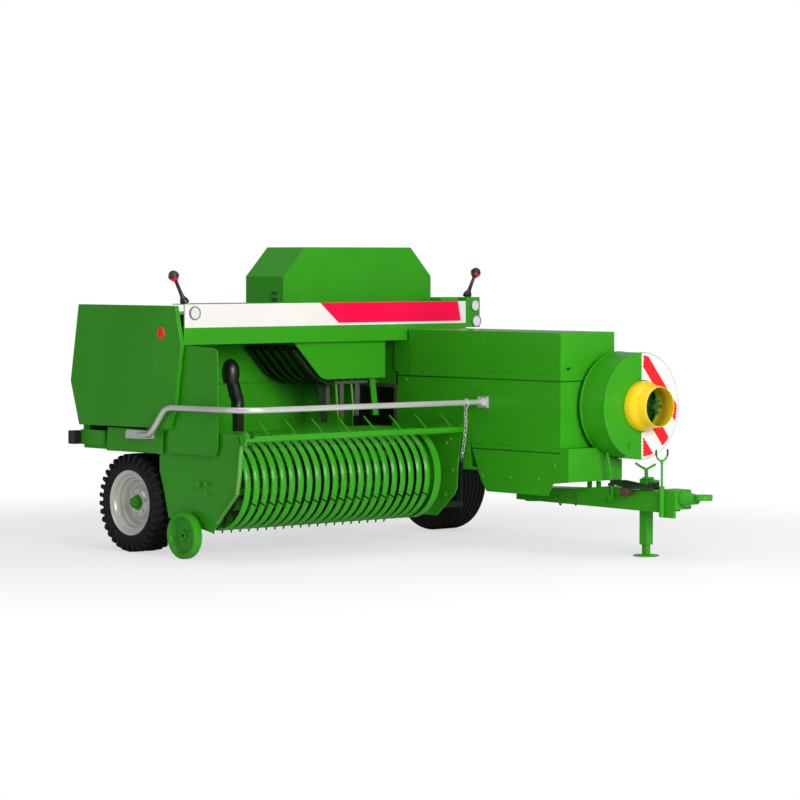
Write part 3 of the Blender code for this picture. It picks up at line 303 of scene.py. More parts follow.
def piece(name, bm, materials, body, sharp=35, replaces=(), bevel=0.0):
    """Object from the mesh, riding on its body when one is given."""
    bmesh.ops.recalc_face_normals(bm, faces=bm.faces)
    bmesh.ops.translate(bm, verts=bm.verts, vec=ORIGIN)
    mesh = bpy.data.meshes.new(name)
    bm.to_mesh(mesh)
    bm.free()
    for one in materials if isinstance(materials, (list, tuple)) else [materials]:
        mesh.materials.append(one)
    mesh.shade_smooth()
    mesh.set_sharp_from_angle(angle=math.radians(sharp))
    obj = bpy.data.objects.new(name, mesh)
    link(obj)
    if bevel:
        soften(obj, bevel)
    if body:
        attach(obj, body)
    if replaces:
        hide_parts(*replaces)
    return obj


def soften(obj, width):
    """Rounded edges that catch the light, with flat faces kept flat."""
    edge = obj.modifiers.new("rounded_edges", "BEVEL")
    edge.width = width
    edge.segments = 2
    edge.limit_method = "ANGLE"
    edge.angle_limit = math.radians(38)
    edge.use_clamp_overlap = True
    edge.miter_outer = "MITER_ARC"
    flat = obj.modifiers.new("flat_faces", "WEIGHTED_NORMAL")
    flat.keep_sharp = True


# ---- finishes of the frame's own nodes
def two_tone(name, height, paint, dip):
    """Copy of a paint with another colour above a height, for a rod's rubber-dipped fork."""
    made = paint.copy()
    made.name = name
    nodes, links = made.node_tree.nodes, made.node_tree.links
    shader = next(n for n in nodes if n.type == "BSDF_PRINCIPLED")
    lower = shader.inputs["Base Color"].links[0].from_socket
    coords = next(n for n in nodes if n.type == "TEX_COORD")
    split = add_node(nodes, "SeparateXYZ")
    links.new(coords.outputs["Object"], split.inputs["Vector"])
    over = add_node(nodes, "Math")
    over.operation = "GREATER_THAN"
    over.inputs[1].default_value = height
    links.new(split.outputs["Z"], over.inputs[0])
    mix = colour_mix(nodes, dip)
    links.new(over.outputs["Value"], mix.inputs["Factor"])
    links.new(lower, mix.inputs["A"])
    links.new(mix.outputs["Result"], shader.inputs["Base Color"])
    return made


HOOK_PAINT = two_tone("hook_paint", 0.640, GREEN, (0.030, 0.038, 0.026))
# the feeder floor's dark green is painted shade
NODE_MATERIAL = {
    "rear_lamp_right": BLACK, "rear_lamp_left": BLACK, "packer_ribs": DARK_PAINT_AND_SHADE, "packer_forks": GUNMETAL,
    "plunger": STEEL, "warning_board": WHITE, "pto_yoke": DARK_GREEN_AND_SHADE, "flywheel": DARK_GREEN_AND_SHADE,
    "gearbox": DARK_GREEN_AND_SHADE, "pickup_reel": DARK_PAINT_AND_SHADE, "feeder_floor": DARK_GREEN_AND_SHADE, "crop_horn": BLACK,
    "needle_yoke": DARK_PAINT_AND_SHADE, "pto_support_hook": HOOK_PAINT,
}
# nodes too fine for rounded edges
SHARP_NODES = {"pickup_reel", "packer_ribs", "packer_forks", "density_frame", "wind_guard", "warning_board"}


def smooth_group():
    """Node group: smooth faces, with edges over the limit kept sharp."""
    group = bpy.data.node_groups.new("smooth_by_angle", "GeometryNodeTree")
    group.interface.new_socket("Geometry", in_out="INPUT", socket_type="NodeSocketGeometry")
    group.interface.new_socket("Geometry", in_out="OUTPUT", socket_type="NodeSocketGeometry")
    nodes, links = group.nodes, group.links
    start, end = nodes.new("NodeGroupInput"), nodes.new("NodeGroupOutput")
    drop = nodes.new("GeometryNodeRemoveAttribute")
    drop.inputs["Name"].default_value = "custom_normal"
    faces = nodes.new("GeometryNodeSetShadeSmooth")
    edges = nodes.new("GeometryNodeSetShadeSmooth")
    edges.domain = "EDGE"
    edges.inputs["Shade Smooth"].default_value = False
    angle = nodes.new("GeometryNodeInputMeshEdgeAngle")
    over = nodes.new("FunctionNodeCompare")
    over.operation = "GREATER_THAN"
    over.inputs[1].default_value = math.radians(32)
    links.new(start.outputs[0], drop.inputs["Geometry"])
    links.new(drop.outputs["Geometry"], faces.inputs["Geometry"])
    links.new(faces.outputs["Geometry"], edges.inputs["Geometry"])
    links.new(angle.outputs["Unsigned Angle"], over.inputs[0])
    links.new(over.outputs["Result"], edges.inputs["Selection"])
    links.new(edges.outputs["Geometry"], end.inputs[0])
    return group


SMOOTH = smooth_group()


def finish_nodes():
    """Paint for the CAD nodes that stay in view, with their triangles merged and edges rounded."""
    for name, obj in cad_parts.items():
        if obj.hide_render:
            continue
        chosen = NODE_MATERIAL.get(name, GREEN)
        obj.data.materials.clear()
        obj.data.materials.append(chosen)
        weld = obj.modifiers.new("join_corners", "WELD")
        weld.merge_threshold = 0.00002
        whole = obj.modifiers.new("whole_faces", "DECIMATE")
        whole.decimate_type = "DISSOLVE"
        whole.angle_limit = math.radians(0.6)
        if name not in SHARP_NODES:
            edge = obj.modifiers.new("rounded_edges", "BEVEL")
            edge.width = 0.0022
            edge.segments = 2
            edge.limit_method = "ANGLE"
            edge.angle_limit = math.radians(40)
        shade = obj.modifiers.new("smooth_by_angle", "NODES")
        shade.node_group = SMOOTH
        flat = obj.modifiers.new("flat_faces", "WEIGHTED_NORMAL")
        flat.keep_sharp = True


# ---- wheels
def wheel_size(side_name):
    """Middle in Y, radius and half width of a tyre, from its node's box."""
    low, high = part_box(f"tyre_{side_name}")
    return (low.y + high.y) / 2 - ORIGIN.y, (high.z - low.z) / 2, (high.y - low.y) / 2


def tyre_section(radius, half, grooves):
    """Radius and offset from the middle plane, over one half of the tread and its side wall."""
    bead = 0.203
    wall = radius - bead
    floor = radius - 0.011
    section = [(radius, 0.0)]
    for groove in grooves:
        section += [(radius, groove - 0.0045), (floor, groove - 0.0030), (floor, groove + 0.0030),
                    (radius, groove + 0.0045)]
    # shoulder: depth below the crown, share of the half width
    for depth, share in ((0.001, 0.70), (0.006, 0.82), (0.020, 0.935)):
        section.append((radius - depth, share * half))
    # side wall: share of its height above the bead, share of the half width
    for rise, share in ((0.58, 0.995), (0.40, 0.985), (0.385, 1.0), (0.345, 1.0), (0.33, 0.975),
                        (0.15, 0.930), (0.03, 0.880), (0.0, 0.83)):
        section.append((bead + rise * wall, share * half))
    return section


def tyre(side_name, grooves=(), lugs=0):
    """Implement tyre with ribs between its grooves, or with a number of shoulder lugs."""
    middle, radius, half = wheel_size(side_name)
    section = tyre_section(radius - (0.018 if lugs else 0.0), half * (0.97 if lugs else 1.0), grooves)
    profile = [(r, middle - s) for r, s in section[::-1]] + [(r, middle + s) for r, s in section[1:]]
    bm = bmesh.new()
    add_lathe(bm, profile, "Y", (0.0, radius), 120)
    # across one lug: share of the half width, depth below the crown
    lug = [(0.04, 0.020), (0.06, 0.0005), (0.80, 0.0010), (0.95, 0.006), (1.00, 0.022), (0.995, 0.050),
           (0.93, 0.058), (0.80, 0.034)]
    for way in (-1, 1):
        for k in range(lugs):
            start = math.tau * (k + (0.5 if way > 0 else 0.0)) / lugs
            rings = []
            for step in (0.0, 0.10, 0.42, 0.52):
                sink = 0.0 if 0.05 < step < 0.5 else 0.010
                ring = []
                for share, depth in lug:
                    angle = start + math.tau / lugs * step + 0.13 * (1.0 - share)
                    r = radius - depth - sink
                    ring.append(bm.verts.new((r * math.cos(angle), middle + way * share * half,
                                              radius + r * math.sin(angle))))
                rings.append(ring)
            cap(bm, rings)
            bridge(bm, rings)
    piece(f"tread_{side_name}", bm, RUBBER, f"wheel_{side_name}", 30, (f"tyre_{side_name}",))


def rim(side_name, side):
    """Stepped and dished steel rim, with the painted hub and its nuts."""
    middle, radius, _ = wheel_size(side_name)
    # radius, offset towards the outer side, from the hub hole to the rim's outer flange
    outer = [(0.030, 0.032), (0.062, 0.032), (0.084, 0.029), (0.096, 0.020), (0.106, 0.004), (0.114, -0.002),
             (0.126, -0.002), (0.134, 0.006), (0.139, 0.022), (0.144, 0.030), (0.152, 0.032), (0.157, 0.038),
             (0.160, 0.056), (0.165, 0.062), (0.174, 0.064), (0.179, 0.071), (0.182, 0.082), (0.190, 0.087),
             (0.199, 0.0945), (0.2045, 0.0965), (0.2075, 0.0935), (0.2065, 0.089), (0.200, 0.088)]
    inner = [(0.200, -0.088), (0.2045, -0.094), (0.196, -0.095), (0.176, -0.080), (0.164, -0.040),
             (0.160, -0.016), (0.080, -0.012), (0.030, -0.012)]
    bm = bmesh.new()
    add_lathe(bm, [(r, middle + side * s) for r, s in outer + inner], "Y", (0.0, radius), 96)
    hub = [(0.0, 0.078), (0.012, 0.078), (0.014, 0.072), (0.024, 0.0715), (0.032, 0.068), (0.036, 0.058),
           (0.038, 0.040), (0.048, 0.038), (0.050, 0.034), (0.050, -0.050), (0.0, -0.050)]
    add_lathe(bm, [(r, middle + side * s) for r, s in hub], "Y", (0.0, radius), 40, 1)
    for k in range(6):
        angle = math.tau * (k + 0.25) / 6
        spot = (0.073 * math.cos(angle), middle + side * 0.0312, radius + 0.073 * math.sin(angle))
        add_bolt(bm, spot, "Y", side, 0.0095, 2)
        spot = (0.026 * math.cos(angle), middle + side * 0.0712, radius + 0.026 * math.sin(angle))
        add_bolt(bm, spot, "Y", side, 0.0035, 3)
    piece(f"rim_detail_{side_name}", bm, [SILVER, GREEN, ZINC, DARK_GREEN_AND_SHADE], f"wheel_{side_name}",
          30, (f"rim_{side_name}",))


def gauge_wheel():
    """Rolled sheet wheel with a deep dish and an open bearing."""
    x, y, z = 0.600, -1.398, 0.146
    # radius, offset outwards from the wheel's middle plane
    section = [(0.013, 0.020), (0.022, 0.022), (0.028, 0.019), (0.031, 0.010), (0.038, 0.004),
               (0.070, 0.000), (0.094, 0.001), (0.104, 0.008), (0.111, 0.022), (0.118, 0.034),
               (0.127, 0.0390), (0.136, 0.0380), (0.143, 0.031), (0.1455, 0.020), (0.1455, -0.012),
               (0.142, -0.021), (0.133, -0.025), (0.122, -0.023), (0.112, -0.012), (0.098, -0.004),
               (0.034, -0.002), (0.030, -0.025), (0.013, -0.025)]
    pin = [(0.0, y - 0.010), (0.0115, y - 0.010), (0.0115, y + 0.02), (0.0, y + 0.02)]
    bm = bmesh.new()
    add_lathe(bm, [(r, y - s) for r, s in section], "Y", (x, z), 80)
    add_lathe(bm, pin, "Y", (x, z), 24, 1)
    bolt_circle = 0.052
    for k in range(3):
        angle = math.tau * (k + 0.3) / 3
        spot = (x + bolt_circle * math.cos(angle), y - 0.0005, z + bolt_circle * math.sin(angle))
        add_bolt(bm, spot, "Y", -1, 0.005, 0)
    piece("gauge_wheel_detail", bm, [GREEN, DARK_PAINT_AND_SHADE], "gauge_roller", 30, ("gauge_wheel",))


# ---- pickup
def band_path(radius, steps=30):
    """Side view of a band in X and Z: flat on top, then round the reel and back under it."""
    cx, cz = BAND_CENTRE
    path = [(0.500, cz + radius)]
    for k in range(steps + 1):
        angle = math.radians(90 - 190 * k / steps)
        path.append((cx + radius * math.cos(angle), cz + radius * math.sin(angle)))
    return path + [(0.552, cz - radius + 0.010)]


def pickup_bands():
    """Crowned stripper bands, the closing sheet at the left end and their two rails."""
    bm = bmesh.new()
    half = BAND_WIDTH / 2
    crown = 0.0095
    offsets = [half * s / 4 for s in range(-4, 5)]
    outer = [(s, -crown * (s / half) ** 2) for s in offsets]
    section = outer + [(s * 0.93, h - 0.0028) for s, h in reversed(outer)]
    path = [Vector((x, 0.0, z)) for x, z in band_path(BAND_R)]
    for i in range(BAND_COUNT):
        middle = BAND_FIRST + BAND_PITCH * i + half
        rings = []
        for k, point in enumerate(path):
            ahead = (path[min(k + 1, len(path) - 1)] - path[max(k - 1, 0)]).normalized()
            out = Vector((-ahead.z, 0.0, ahead.x))
            rings.append([bm.verts.new(point + out * h + Vector((0, middle + s, 0))) for s, h in section])
        bridge(bm, rings)
        cap(bm, rings)
    end = (0.215, 0.270)
    add_prism(bm, band_path(BAND_R) + band_path(BAND_R - 0.005)[::-1], "Y", *end)
    add_prism(bm, band_path(BAND_R - 0.003) + band_path(BAND_R - 0.063)[::-1], "Y", end[1] - 0.006, end[1])
    add_box(bm, (0.4853, 0.510), (BAND_FIRST, end[1]), (0.700, 0.7665))
    add_box(bm, (0.5403, 0.560), (BAND_FIRST, end[1]), (0.193, 0.240))
    piece("stripper_bands", bm, GREEN, "pickup", 40, ("pickup_bands",))


def pickup_fittings():
    """Bolts inside the left end plate, pressings and front flange of the right one."""
    bm = bmesh.new()
    for x, z in ((1.030, 0.690), (0.990, 0.665), (1.045, 0.490), (0.975, 0.330)):
        add_bolt(bm, (x, 0.432, z), "Y", -1, 0.009)
    piece("pickup_bolts", bm, PALE_GREEN, "pickup")
    bm = bmesh.new()
    face = END_PLATE_Y
    pressing = [(0.0, face - 0.007), (0.010, face - 0.0065), (0.016, face - 0.002), (0.017, face),
                (0.0, face)]
    for x, z, size in ((0.690, 0.462, 1.15), (0.765, 0.470, 0.95), (0.762, 0.405, 0.80)):
        add_lathe(bm, [(r * size, y) for r, y in pressing], "Y", (x, z), 28)
    piece("pickup_pressings", bm, GREEN, "pickup")
    bm = bmesh.new()
    flange = [(1.090, 0.550), (1.112, 0.745), (1.090, 0.780), (1.082, 0.775), (1.102, 0.743), (1.080, 0.552),
              (1.060, 0.424), (0.870, 0.238), (0.875, 0.232), (1.068, 0.420)]
    add_prism(bm, flange, "Y", face, face + 0.030)
    piece("pickup_end_flange", bm, PALE_GREEN, "pickup", bevel=0.0015)


def wind_guard_mount():
    """Clamp and coil spring that hold the wind guard on the right end plate."""
    centre = (1.140, 0.780)
    inner = -1.340
    boss = [(0.0, END_PLATE_Y + 0.0005), (0.012, END_PLATE_Y + 0.0005), (0.020, END_PLATE_Y + 0.0025),
            (0.020, inner), (0.0, inner)]
    collar = [(0.0205, -1.366), (0.026, -1.365), (0.026, -1.352), (0.0205, -1.351)]
    bm = bmesh.new()
    for profile in (boss, collar):
        add_lathe(bm, profile, "Y", centre, 28)
    piece("wind_guard_clamp", bm, GREEN, "pickup", 40)
    x, z = centre
    turns, steps, coil_r, climb = 4, 14, 0.0245, 0.0072
    coil = []
    for k in range(turns * steps + 1):
        angle = math.tau * k / steps
        y = inner + 0.002 + climb * k / steps
        coil.append((x + coil_r * math.cos(angle), y, z + coil_r * math.sin(angle)))
    coil.append((x - 0.010, -1.309, z - 0.090))
    bm = bmesh.new()
    add_tube(bm, coil, 0.0028, 8)
    piece("wind_guard_spring", bm, DARK_GREEN_AND_SHADE, "pickup", 60)


# ---- front of the machine
def beam_strip():
    """Blank white and crimson film along the front beam, and two raised plates on its top."""
    base, low, high = 1.424, 1.439, 1.569
    right, left = -1.366, 0.996
    back = BEAM_FRONT + 0.0001
    # outlines in Y and Z; the crimson field has slanted ends and leaves a white line below it
    crimson = [(-0.118, low), (0.952, low), (0.925, high), (-0.272, high)]
    fields = [("white_film", WHITE, [(right, base), (left, base), (left, high), (right, high)], 0.0005),
              ("crimson_film", CRIMSON, crimson, 0.0010)]
    for name, chosen, outline, thick in fields:
        bm = bmesh.new()
        add_prism(bm, outline, "X", back, back + thick)
        piece(name, bm, chosen, "chassis")
    bm = bmesh.new()
    add_box(bm, (0.452, 0.556), (0.775, 0.930), (BEAM_TOP + AIR, BEAM_TOP + 0.0240))
    add_box(bm, (0.470, 0.545), (-1.26, -0.40), (BEAM_TOP + AIR, BEAM_TOP + 0.0025))
    piece("beam_top_strip", bm, GREEN, "chassis", bevel=0.0015)


def round_lamp(name, y, z, radius, node):
    """Lamp or reflector on the front beam: a grey ring and a stepped lens."""
    x = BEAM_FRONT + 0.0003
    # share of the radius, height above the beam
    ring = [(0.80, 0.0), (1.0, 0.0), (1.0, 0.008), (0.94, 0.0125), (0.84, 0.0125), (0.80, 0.009)]
    lens = [(0.0, 0.0125), (0.25, 0.0123), (0.27, 0.0112), (0.50, 0.0116), (0.52, 0.0104),
            (0.80, 0.0090), (0.80, 0.0), (0.0, 0.0)]
    bm = bmesh.new()
    for index, profile in enumerate((ring, lens)):
        add_lathe(bm, [(radius * share, x + height) for share, height in profile], "X", (y, z), 48, index)
    piece(name, bm, [GREY, LENS], "chassis", 30, (node,))


def marker_lamp(name, foot, ball, node):
    """Rubber stalk with a brown lamp head, red below."""
    foot, ball = Vector(foot), Vector(ball)
    along = (ball - foot).normalized()
    length = (ball - foot).length
    foot_part = [(0.0, 0.002), (0.029, 0.004), (0.028, 0.020), (0.022, 0.034), (0.0135, 0.050),
                 (0.0115, 0.080)]
    # radius, place along the stalk from the ball's middle
    neck = [(0.0105, -0.040), (0.014, -0.034), (0.020, -0.026), (0.0, -0.024)]
    head = [(0.0, -0.027), (0.022, -0.027), (0.030, -0.014), (0.0335, 0.0), (0.030, 0.014),
            (0.022, 0.026), (0.010, 0.0325), (0.0, 0.0335)]
    band = [(0.0300, -0.006), (0.0343, -0.005), (0.0343, 0.005), (0.0300, 0.006)]
    bm = bmesh.new()
    add_lathe(bm, foot_part + [(r, length + s) for r, s in neck], "Z", (0, 0), 32, 0)
    add_lathe(bm, [(r, length + s) for r, s in head], "Z", (0, 0), 32, 1)
    add_lathe(bm, [(r, length + s) for r, s in band], "Z", (0, 0), 32, 0)
    turn = Vector((0, 0, 1)).rotation_difference(along).to_matrix()
    bmesh.ops.rotate(bm, verts=bm.verts, matrix=turn)
    bmesh.ops.translate(bm, verts=bm.verts, vec=foot)
    floor = foot.z + 0.0004
    for vert in bm.verts:
        vert.co.z = max(vert.co.z, floor)
    for face in bm.faces:
        if face.material_index == 1 and face.calc_center_median().z < ball.z - 0.010:
            face.material_index = 2
    piece(name, bm, [BLACK, BROWN, CRIMSON], "chassis", 40, (node,))


def side_reflector():
    """Round reflector and its ring on the right side panel."""
    centre = (0.377, 1.391)
    face = SIDE_Y - AIR
    ring = [(0.030, face), (0.036, face), (0.0355, face - 0.006), (0.030, face - 0.007)]
    glass = [(0.0, face - 0.0075), (0.020, face - 0.0070), (0.0295, face - 0.0055), (0.0295, face),
             (0.0, face)]
    bm = bmesh.new()
    for index, profile in enumerate((ring, glass)):
        add_lathe(bm, profile, "Y", centre, 40, index)
    piece("side_reflector", bm, [ORANGE, RED], "chassis", 30)


def housing_details():
    """Seams, lid edge and bolts of the plunger housing. The dark line under the lid's lip is its seam,
    darkened as a painted shadow of the lip.
    """
    right = HOUSING_Y[0]
    rear, front = HOUSING_X
    face = right - 0.0004
    lid_shadow_line, skirt_seam, lip = (1.0835, 1.0890), (0.6360, 0.6415), (1.0895, 1.1300)
    bm = bmesh.new()
    # painted shadow: the dark lines under the lid's lip, on its side and front, are the seam darkened as the
    # lip's shadow
    add_box(bm, (rear + 0.004, front - 0.002), (face - 0.0008, face), lid_shadow_line)
    add_box(bm, (1.190, front - 0.002), (face - 0.0008, face), skirt_seam)
    add_box(bm, (front + AIR, front + 0.0010), (right + 0.002, 0.936), lid_shadow_line)
    piece("housing_seams_and_lid_shadow", bm, DARK_PAINT_AND_SHADE, "chassis")
    bm = bmesh.new()
    add_box(bm, (0.587, front + 0.0030), (face - 0.0032, face), lip)
    add_box(bm, (front + AIR, front + 0.0030), (face, 0.938), lip)
    piece("lid_lip", bm, GREEN, "crank_lid", bevel=0.0010)
    bm = bmesh.new()
    for x, z in ((1.295, 0.468), (1.545, 0.468), (1.808, 0.470), (1.950, 0.560), (0.560, 1.060),
                 (0.560, 0.740)):
        add_bolt(bm, (x, right, z), "Y", -1, 0.008, 0)
    piece("housing_bolts", bm, PALE_GREEN, "chassis")


def latches():
    """Latch in the lid's front face, with its hole painted as a dark field of shade, and the knotter hood's
    pressed hand latch.
    """
    front = HOUSING_X[1]
    bm = bmesh.new()
    add_prism(bm, rounded((0.505, 0.555), (1.150, 1.182), 0.006), "X", front + AIR, front + 0.0030, 0)
    # painted shade: the dark field on the latch plate stands for the latch's hole
    add_prism(bm, rounded((0.515, 0.545), (1.158, 1.174), 0.005), "X", front + 0.0030, front + 0.0036, 1)
    piece("front_latch", bm, [GREEN, DARK_PAINT_AND_SHADE], "crank_lid", bevel=0.0008)
    side = HOOD_Y[0] - AIR
    bm = bmesh.new()
    add_prism(bm, rounded((0.158, 0.236), (1.562, 1.648), 0.008), "Y", side - 0.0025, side, 0)
    add_prism(bm, rounded((0.168, 0.226), (1.572, 1.638), 0.006), "Y", side - 0.0031, side - 0.0025, 1)
    add_box(bm, (0.176, 0.216), (side - 0.009, side - 0.0031), (1.598, 1.616), 0)
    piece("hood_latch", bm, [GREEN, DARK_GREEN_AND_SHADE], "knotter_lid", bevel=0.0008)


def drum_details():
    """Rolled front edge, rear band and a pressed tab of the flywheel cover."""
    y, z = DRIVE
    rear, front = DRUM_X
    # offset from the drum's radius, place along X
    edge = [(-0.008, front - 0.001), (0.0, front - 0.006), (0.0012, front - 0.004), (0.0012, front + 0.001),
            (-0.006, front + 0.0032)]
    band = [(-0.004, rear + 0.001), (0.0035, rear + 0.002), (0.0035, rear + 0.012), (-0.001, rear + 0.014)]
    bm = bmesh.new()
    for profile in (edge, band):
        add_lathe(bm, [(DRUM_R + rise, x) for rise, x in profile], "X", DRIVE, 128)
    tab = rounded((y - 0.118, y - 0.100), (z - 0.262, z - 0.222), 0.004)
    add_prism(bm, tab, "X", front + AIR, front + 0.010)
    piece("drum_edge", bm, GREEN, "chassis", 50)


def warning_stripes():
    """Red diagonal bars on the white half disc, cut to its round edge."""
    y0, z0 = DRIVE
    x = DRUM_X[1] + 0.0033
    outer, inner = DRUM_R - 0.012, 0.162
    along = Vector((0.64, -0.77)).normalized()
    across = Vector((-along.y, along.x))
    width, lanes, cells = 0.078, 6, 60
    bm = bmesh.new()
    # each bar starts at this distance from the shaft, measured across the bars
    for start in (0.165, -0.0185, -0.190):
        grid = {}
        for i in range(-cells, cells):
            for side in range(lanes):
                quad = []
                for a, b in ((side, i), (side + 1, i), (side + 1, i + 1), (side, i + 1)):
                    c = across * (start + width * a / lanes) + along * (outer * b / cells)
                    quad.append(((a, b), c))
                if all(inner < c.length < outer and c.x > 0.006 for _, c in quad):
                    corners = []
                    for key, c in quad:
                        if key not in grid:
                            grid[key] = bm.verts.new((x, y0 + c.x, z0 + c.y))
                        corners.append(grid[key])
                    bm.faces.new(corners)
    piece("warning_stripes", bm, RED, "chassis")


def guard_cone():
    """Yellow guard of the drive shaft: a stepped cone, open at the front."""
    rear, front = 2.2506, 2.410
    outer = [(0.1575, rear), (0.1580, rear + 0.012), (0.1555, rear + 0.034), (0.148, rear + 0.060),
             (0.138, rear + 0.078), (0.1345, rear + 0.090), (0.1330, rear + 0.094), (0.1300, rear + 0.140),
             (0.1275, front - 0.004), (0.1255, front)]
    inner = [(0.1225, front - 0.001), (0.1225, rear + 0.094), (0.142, rear + 0.058), (0.150, rear + 0.010),
             (0.150, rear)]
    bm = bmesh.new()
    add_lathe(bm, outer, "X", DRIVE, 96, 0, closed=False)
    add_lathe(bm, [outer[-1]] + inner, "X", DRIVE, 96, 1, closed=False)
    add_lathe(bm, [inner[-1], outer[0]], "X", DRIVE, 96, 0, closed=False)
    bmesh.ops.remove_doubles(bm, verts=bm.verts, dist=0.00001)
    piece("guard_cone", bm, [YELLOW, YELLOW], "chassis", 40, ("pto_guard",))


def rail():
    """Smooth guard rail, flattened where it is bolted on, with its plate on the housing."""
    y_out, end_x, corner = -1.436, 1.300, 0.160
    flat_y = -1.392
    wall = HOUSING_Y[0]
    path = [(0.130, -1.386, 0.748), (0.235, -1.402, 0.750), (0.275, -1.428, 0.760), (0.320, y_out, 0.785),
            (0.360, y_out, 0.825), (0.420, y_out, 0.893), (0.460, y_out, 0.921), (0.510, y_out, 0.932)]
    last = len(path) - 1
    for k in range(13):
        angle = math.radians(-90 + 90 * k / 12)
        path.append((1.060 + corner * math.cos(angle), y_out + corner + corner * math.sin(angle), 0.936))
    path.append((end_x, 0.440, 0.938))
    flat = [(-0.018, 0.722), (0.150, 0.722), (0.258, 0.728), (0.258, 0.772), (0.150, 0.777), (0.000, 0.776),
            (-0.018, 0.762)]
    bm = bmesh.new()
    add_tube(bm, smooth_path(path[:last + 1], 6)[:-1] + [Vector(p) for p in path[last:]], 0.0178, 24)
    add_prism(bm, flat, "Y", flat_y, -1.3706)
    add_box(bm, (end_x - 0.050, end_x + 0.050), (wall - 0.010, wall - 0.001), (0.899, 0.974))
    add_box(bm, (end_x - 0.004, end_x + 0.022), (wall - 0.036, wall - 0.010), (0.916, 0.962))
    for x in (0.020, 0.110):
        add_bolt(bm, (x, flat_y, 0.749), "Y", -1, 0.009)
    for x in (end_x - 0.036, end_x + 0.038):
        for z in (0.912, 0.960):
            add_bolt(bm, (x, wall - 0.010, z), "Y", -1, 0.006)
    piece("rail_tube", bm, ZINC, "chassis", 40, ("guard_rail",), bevel=0.0015)


# ---- feeding area, lift chain and drawbar
def leaning_strip(bm, y_top, y_low, width, x, z, thick=0.006, index=0):
    """Flat bar in the plane X = x that leans in Y on its way down from z[1] to z[0]."""
    outline = [(y_low, z[0]), (y_low + width, z[0]), (y_top + width, z[1]), (y_top, z[1])]
    add_prism(bm, outline, "X", x, x + thick, index)


def feed_details():
    """Rods, guide strips and a bearing of the packer below its cover."""
    x = 0.372
    top = 1.100
    bm = bmesh.new()
    leaning_strip(bm, -0.150, -0.105, 0.052, x, (0.790, top))
    piece("packer_guard_strip", bm, DARK_PAINT_AND_SHADE, "chassis", bevel=0.001)
    bm = bmesh.new()
    leaning_strip(bm, 0.030, 0.046, 0.050, x - 0.012, (0.830, top))
    leaning_strip(bm, 0.158, 0.174, 0.052, x - 0.016, (0.900, top))
    piece("packer_plates", bm, STEEL, "chassis", bevel=0.001)
    bm = bmesh.new()
    bearing = [(0.0, x + 0.003), (0.012, x + 0.002), (0.020, x - 0.004), (0.020, x - 0.010), (0.0, x - 0.010)]
    add_lathe(bm, bearing, "X", (0.186, 1.022), 28)
    piece("packer_bearing", bm, BLACK, "chassis", 30)
    bm = bmesh.new()
    for y_top, y_low in ((-0.012, 0.012), (0.121, 0.146)):
        add_tube(bm, [(x + 0.030, y_top, top), (x + 0.030, y_low, 0.830)], 0.0075, 14)
    piece("packer_rods", bm, PALE_GREEN, "chassis")
    bm = bmesh.new()
    leaning_strip(bm, 0.232, 0.268, 0.046, 0.450, (0.830, top), 0.012)
    piece("packer_upright", bm, GREEN, "chassis", bevel=0.002)


def chamber_liner():
    """Worn sheets round the feed opening and on the chamber's far wall, with a pressed ring."""
    near, far = HOUSING_Y[0], 0.9315
    ring = [(0.030, far - 0.0030), (0.030, far - 0.0046), (0.050, far - 0.0046), (0.050, far - 0.0030)]
    bm = bmesh.new()
    add_box(bm, (0.4415, 0.478), (near - 0.0020, near - 0.0004), (0.745, 1.030))
    add_box(bm, (0.020, 0.4415), (near - 0.0020, near - 0.0004), (1.006, 1.030))
    add_box(bm, (-0.700, 0.470), (far - 0.0030, far - 0.0004), (0.610, 0.995))
    add_lathe(bm, ring, "Y", (0.060, 0.900), 36)
    piece("chamber_liner", bm, GUNMETAL, "chassis")


def knotter_side_plate():
    """Plate that closes the gap between the chamber's top and the hood's deck."""
    near = HOUSING_Y[0]
    bm = bmesh.new()
    add_box(bm, (0.4365, 0.5845), (near + 0.003, near + 0.009), (HOUSING_TOP + 0.0005, 1.3165))
    piece("knotter_side_plate", bm, GREEN, "chassis", bevel=0.001)


def chain_link(bm, centre, along, turned, length=0.044, width=0.028, wire=0.0036):
    """One oval link; turned links lie at right angles to their neighbours."""
    along = along.normalized()
    side = Vector((0.0, 1.0, 0.0)) if turned else along.cross(Vector((0.0, 1.0, 0.0))).normalized()
    side = (side - along * side.dot(along)).normalized()
    path = []
    bend = width / 2 - wire
    straight = length / 2 - width / 2
    steps, sides = 16, 8
    for k in range(steps):
        angle = math.tau * k / steps
        reach = math.copysign(straight, math.cos(angle)) if abs(math.cos(angle)) > 1e-6 else 0.0
        path.append(centre + along * (reach + bend * math.cos(angle)) + side * bend * math.sin(angle))
    rings = []
    for k, point in enumerate(path):
        ahead = (path[(k + 1) % steps] - path[k - 1]).normalized()
        up = along.cross(side)
        out = ahead.cross(up)
        rings.append([bm.verts.new(point + wire * (math.cos(a) * up + math.sin(a) * out))
                      for a in (math.tau * j / sides for j in range(sides))])
    bridge(bm, rings + rings[:1])


def lift_chain():
    """Chain from the rail's end down to the pickup's left end plate, with its lug and shackle."""
    top, foot = Vector((1.290, 0.318, 0.905)), Vector((1.112, 0.4485, 0.575))
    bm = bmesh.new()
    links = 11
    for k in range(links):
        t = (k + 0.5) / links
        sag = 0.016 * math.sin(math.pi * t)
        centre = top.lerp(foot, t) + Vector((sag, 0.0, 0.0))
        chain_link(bm, centre, foot - top, k % 2 == 1)
    chain = piece("lift_chain", bm, ZINC, None, 60)
    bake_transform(chain)
    bm = bmesh.new()
    add_box(bm, (1.050, 1.120), (0.4405, 0.4455), (0.548, 0.580))
    add_bolt(bm, (1.062, 0.4455, 0.563), "Y", 1, 0.007)
    piece("chain_lug", bm, STEEL, "pickup", bevel=0.001)
    bm = bmesh.new()
    add_tube(bm, hoop(1.294, top.y, 0.9325, 0.0235, 0.0275, 20), 0.0045, 12)
    piece("chain_shackle", bm, ZINC, "chassis")


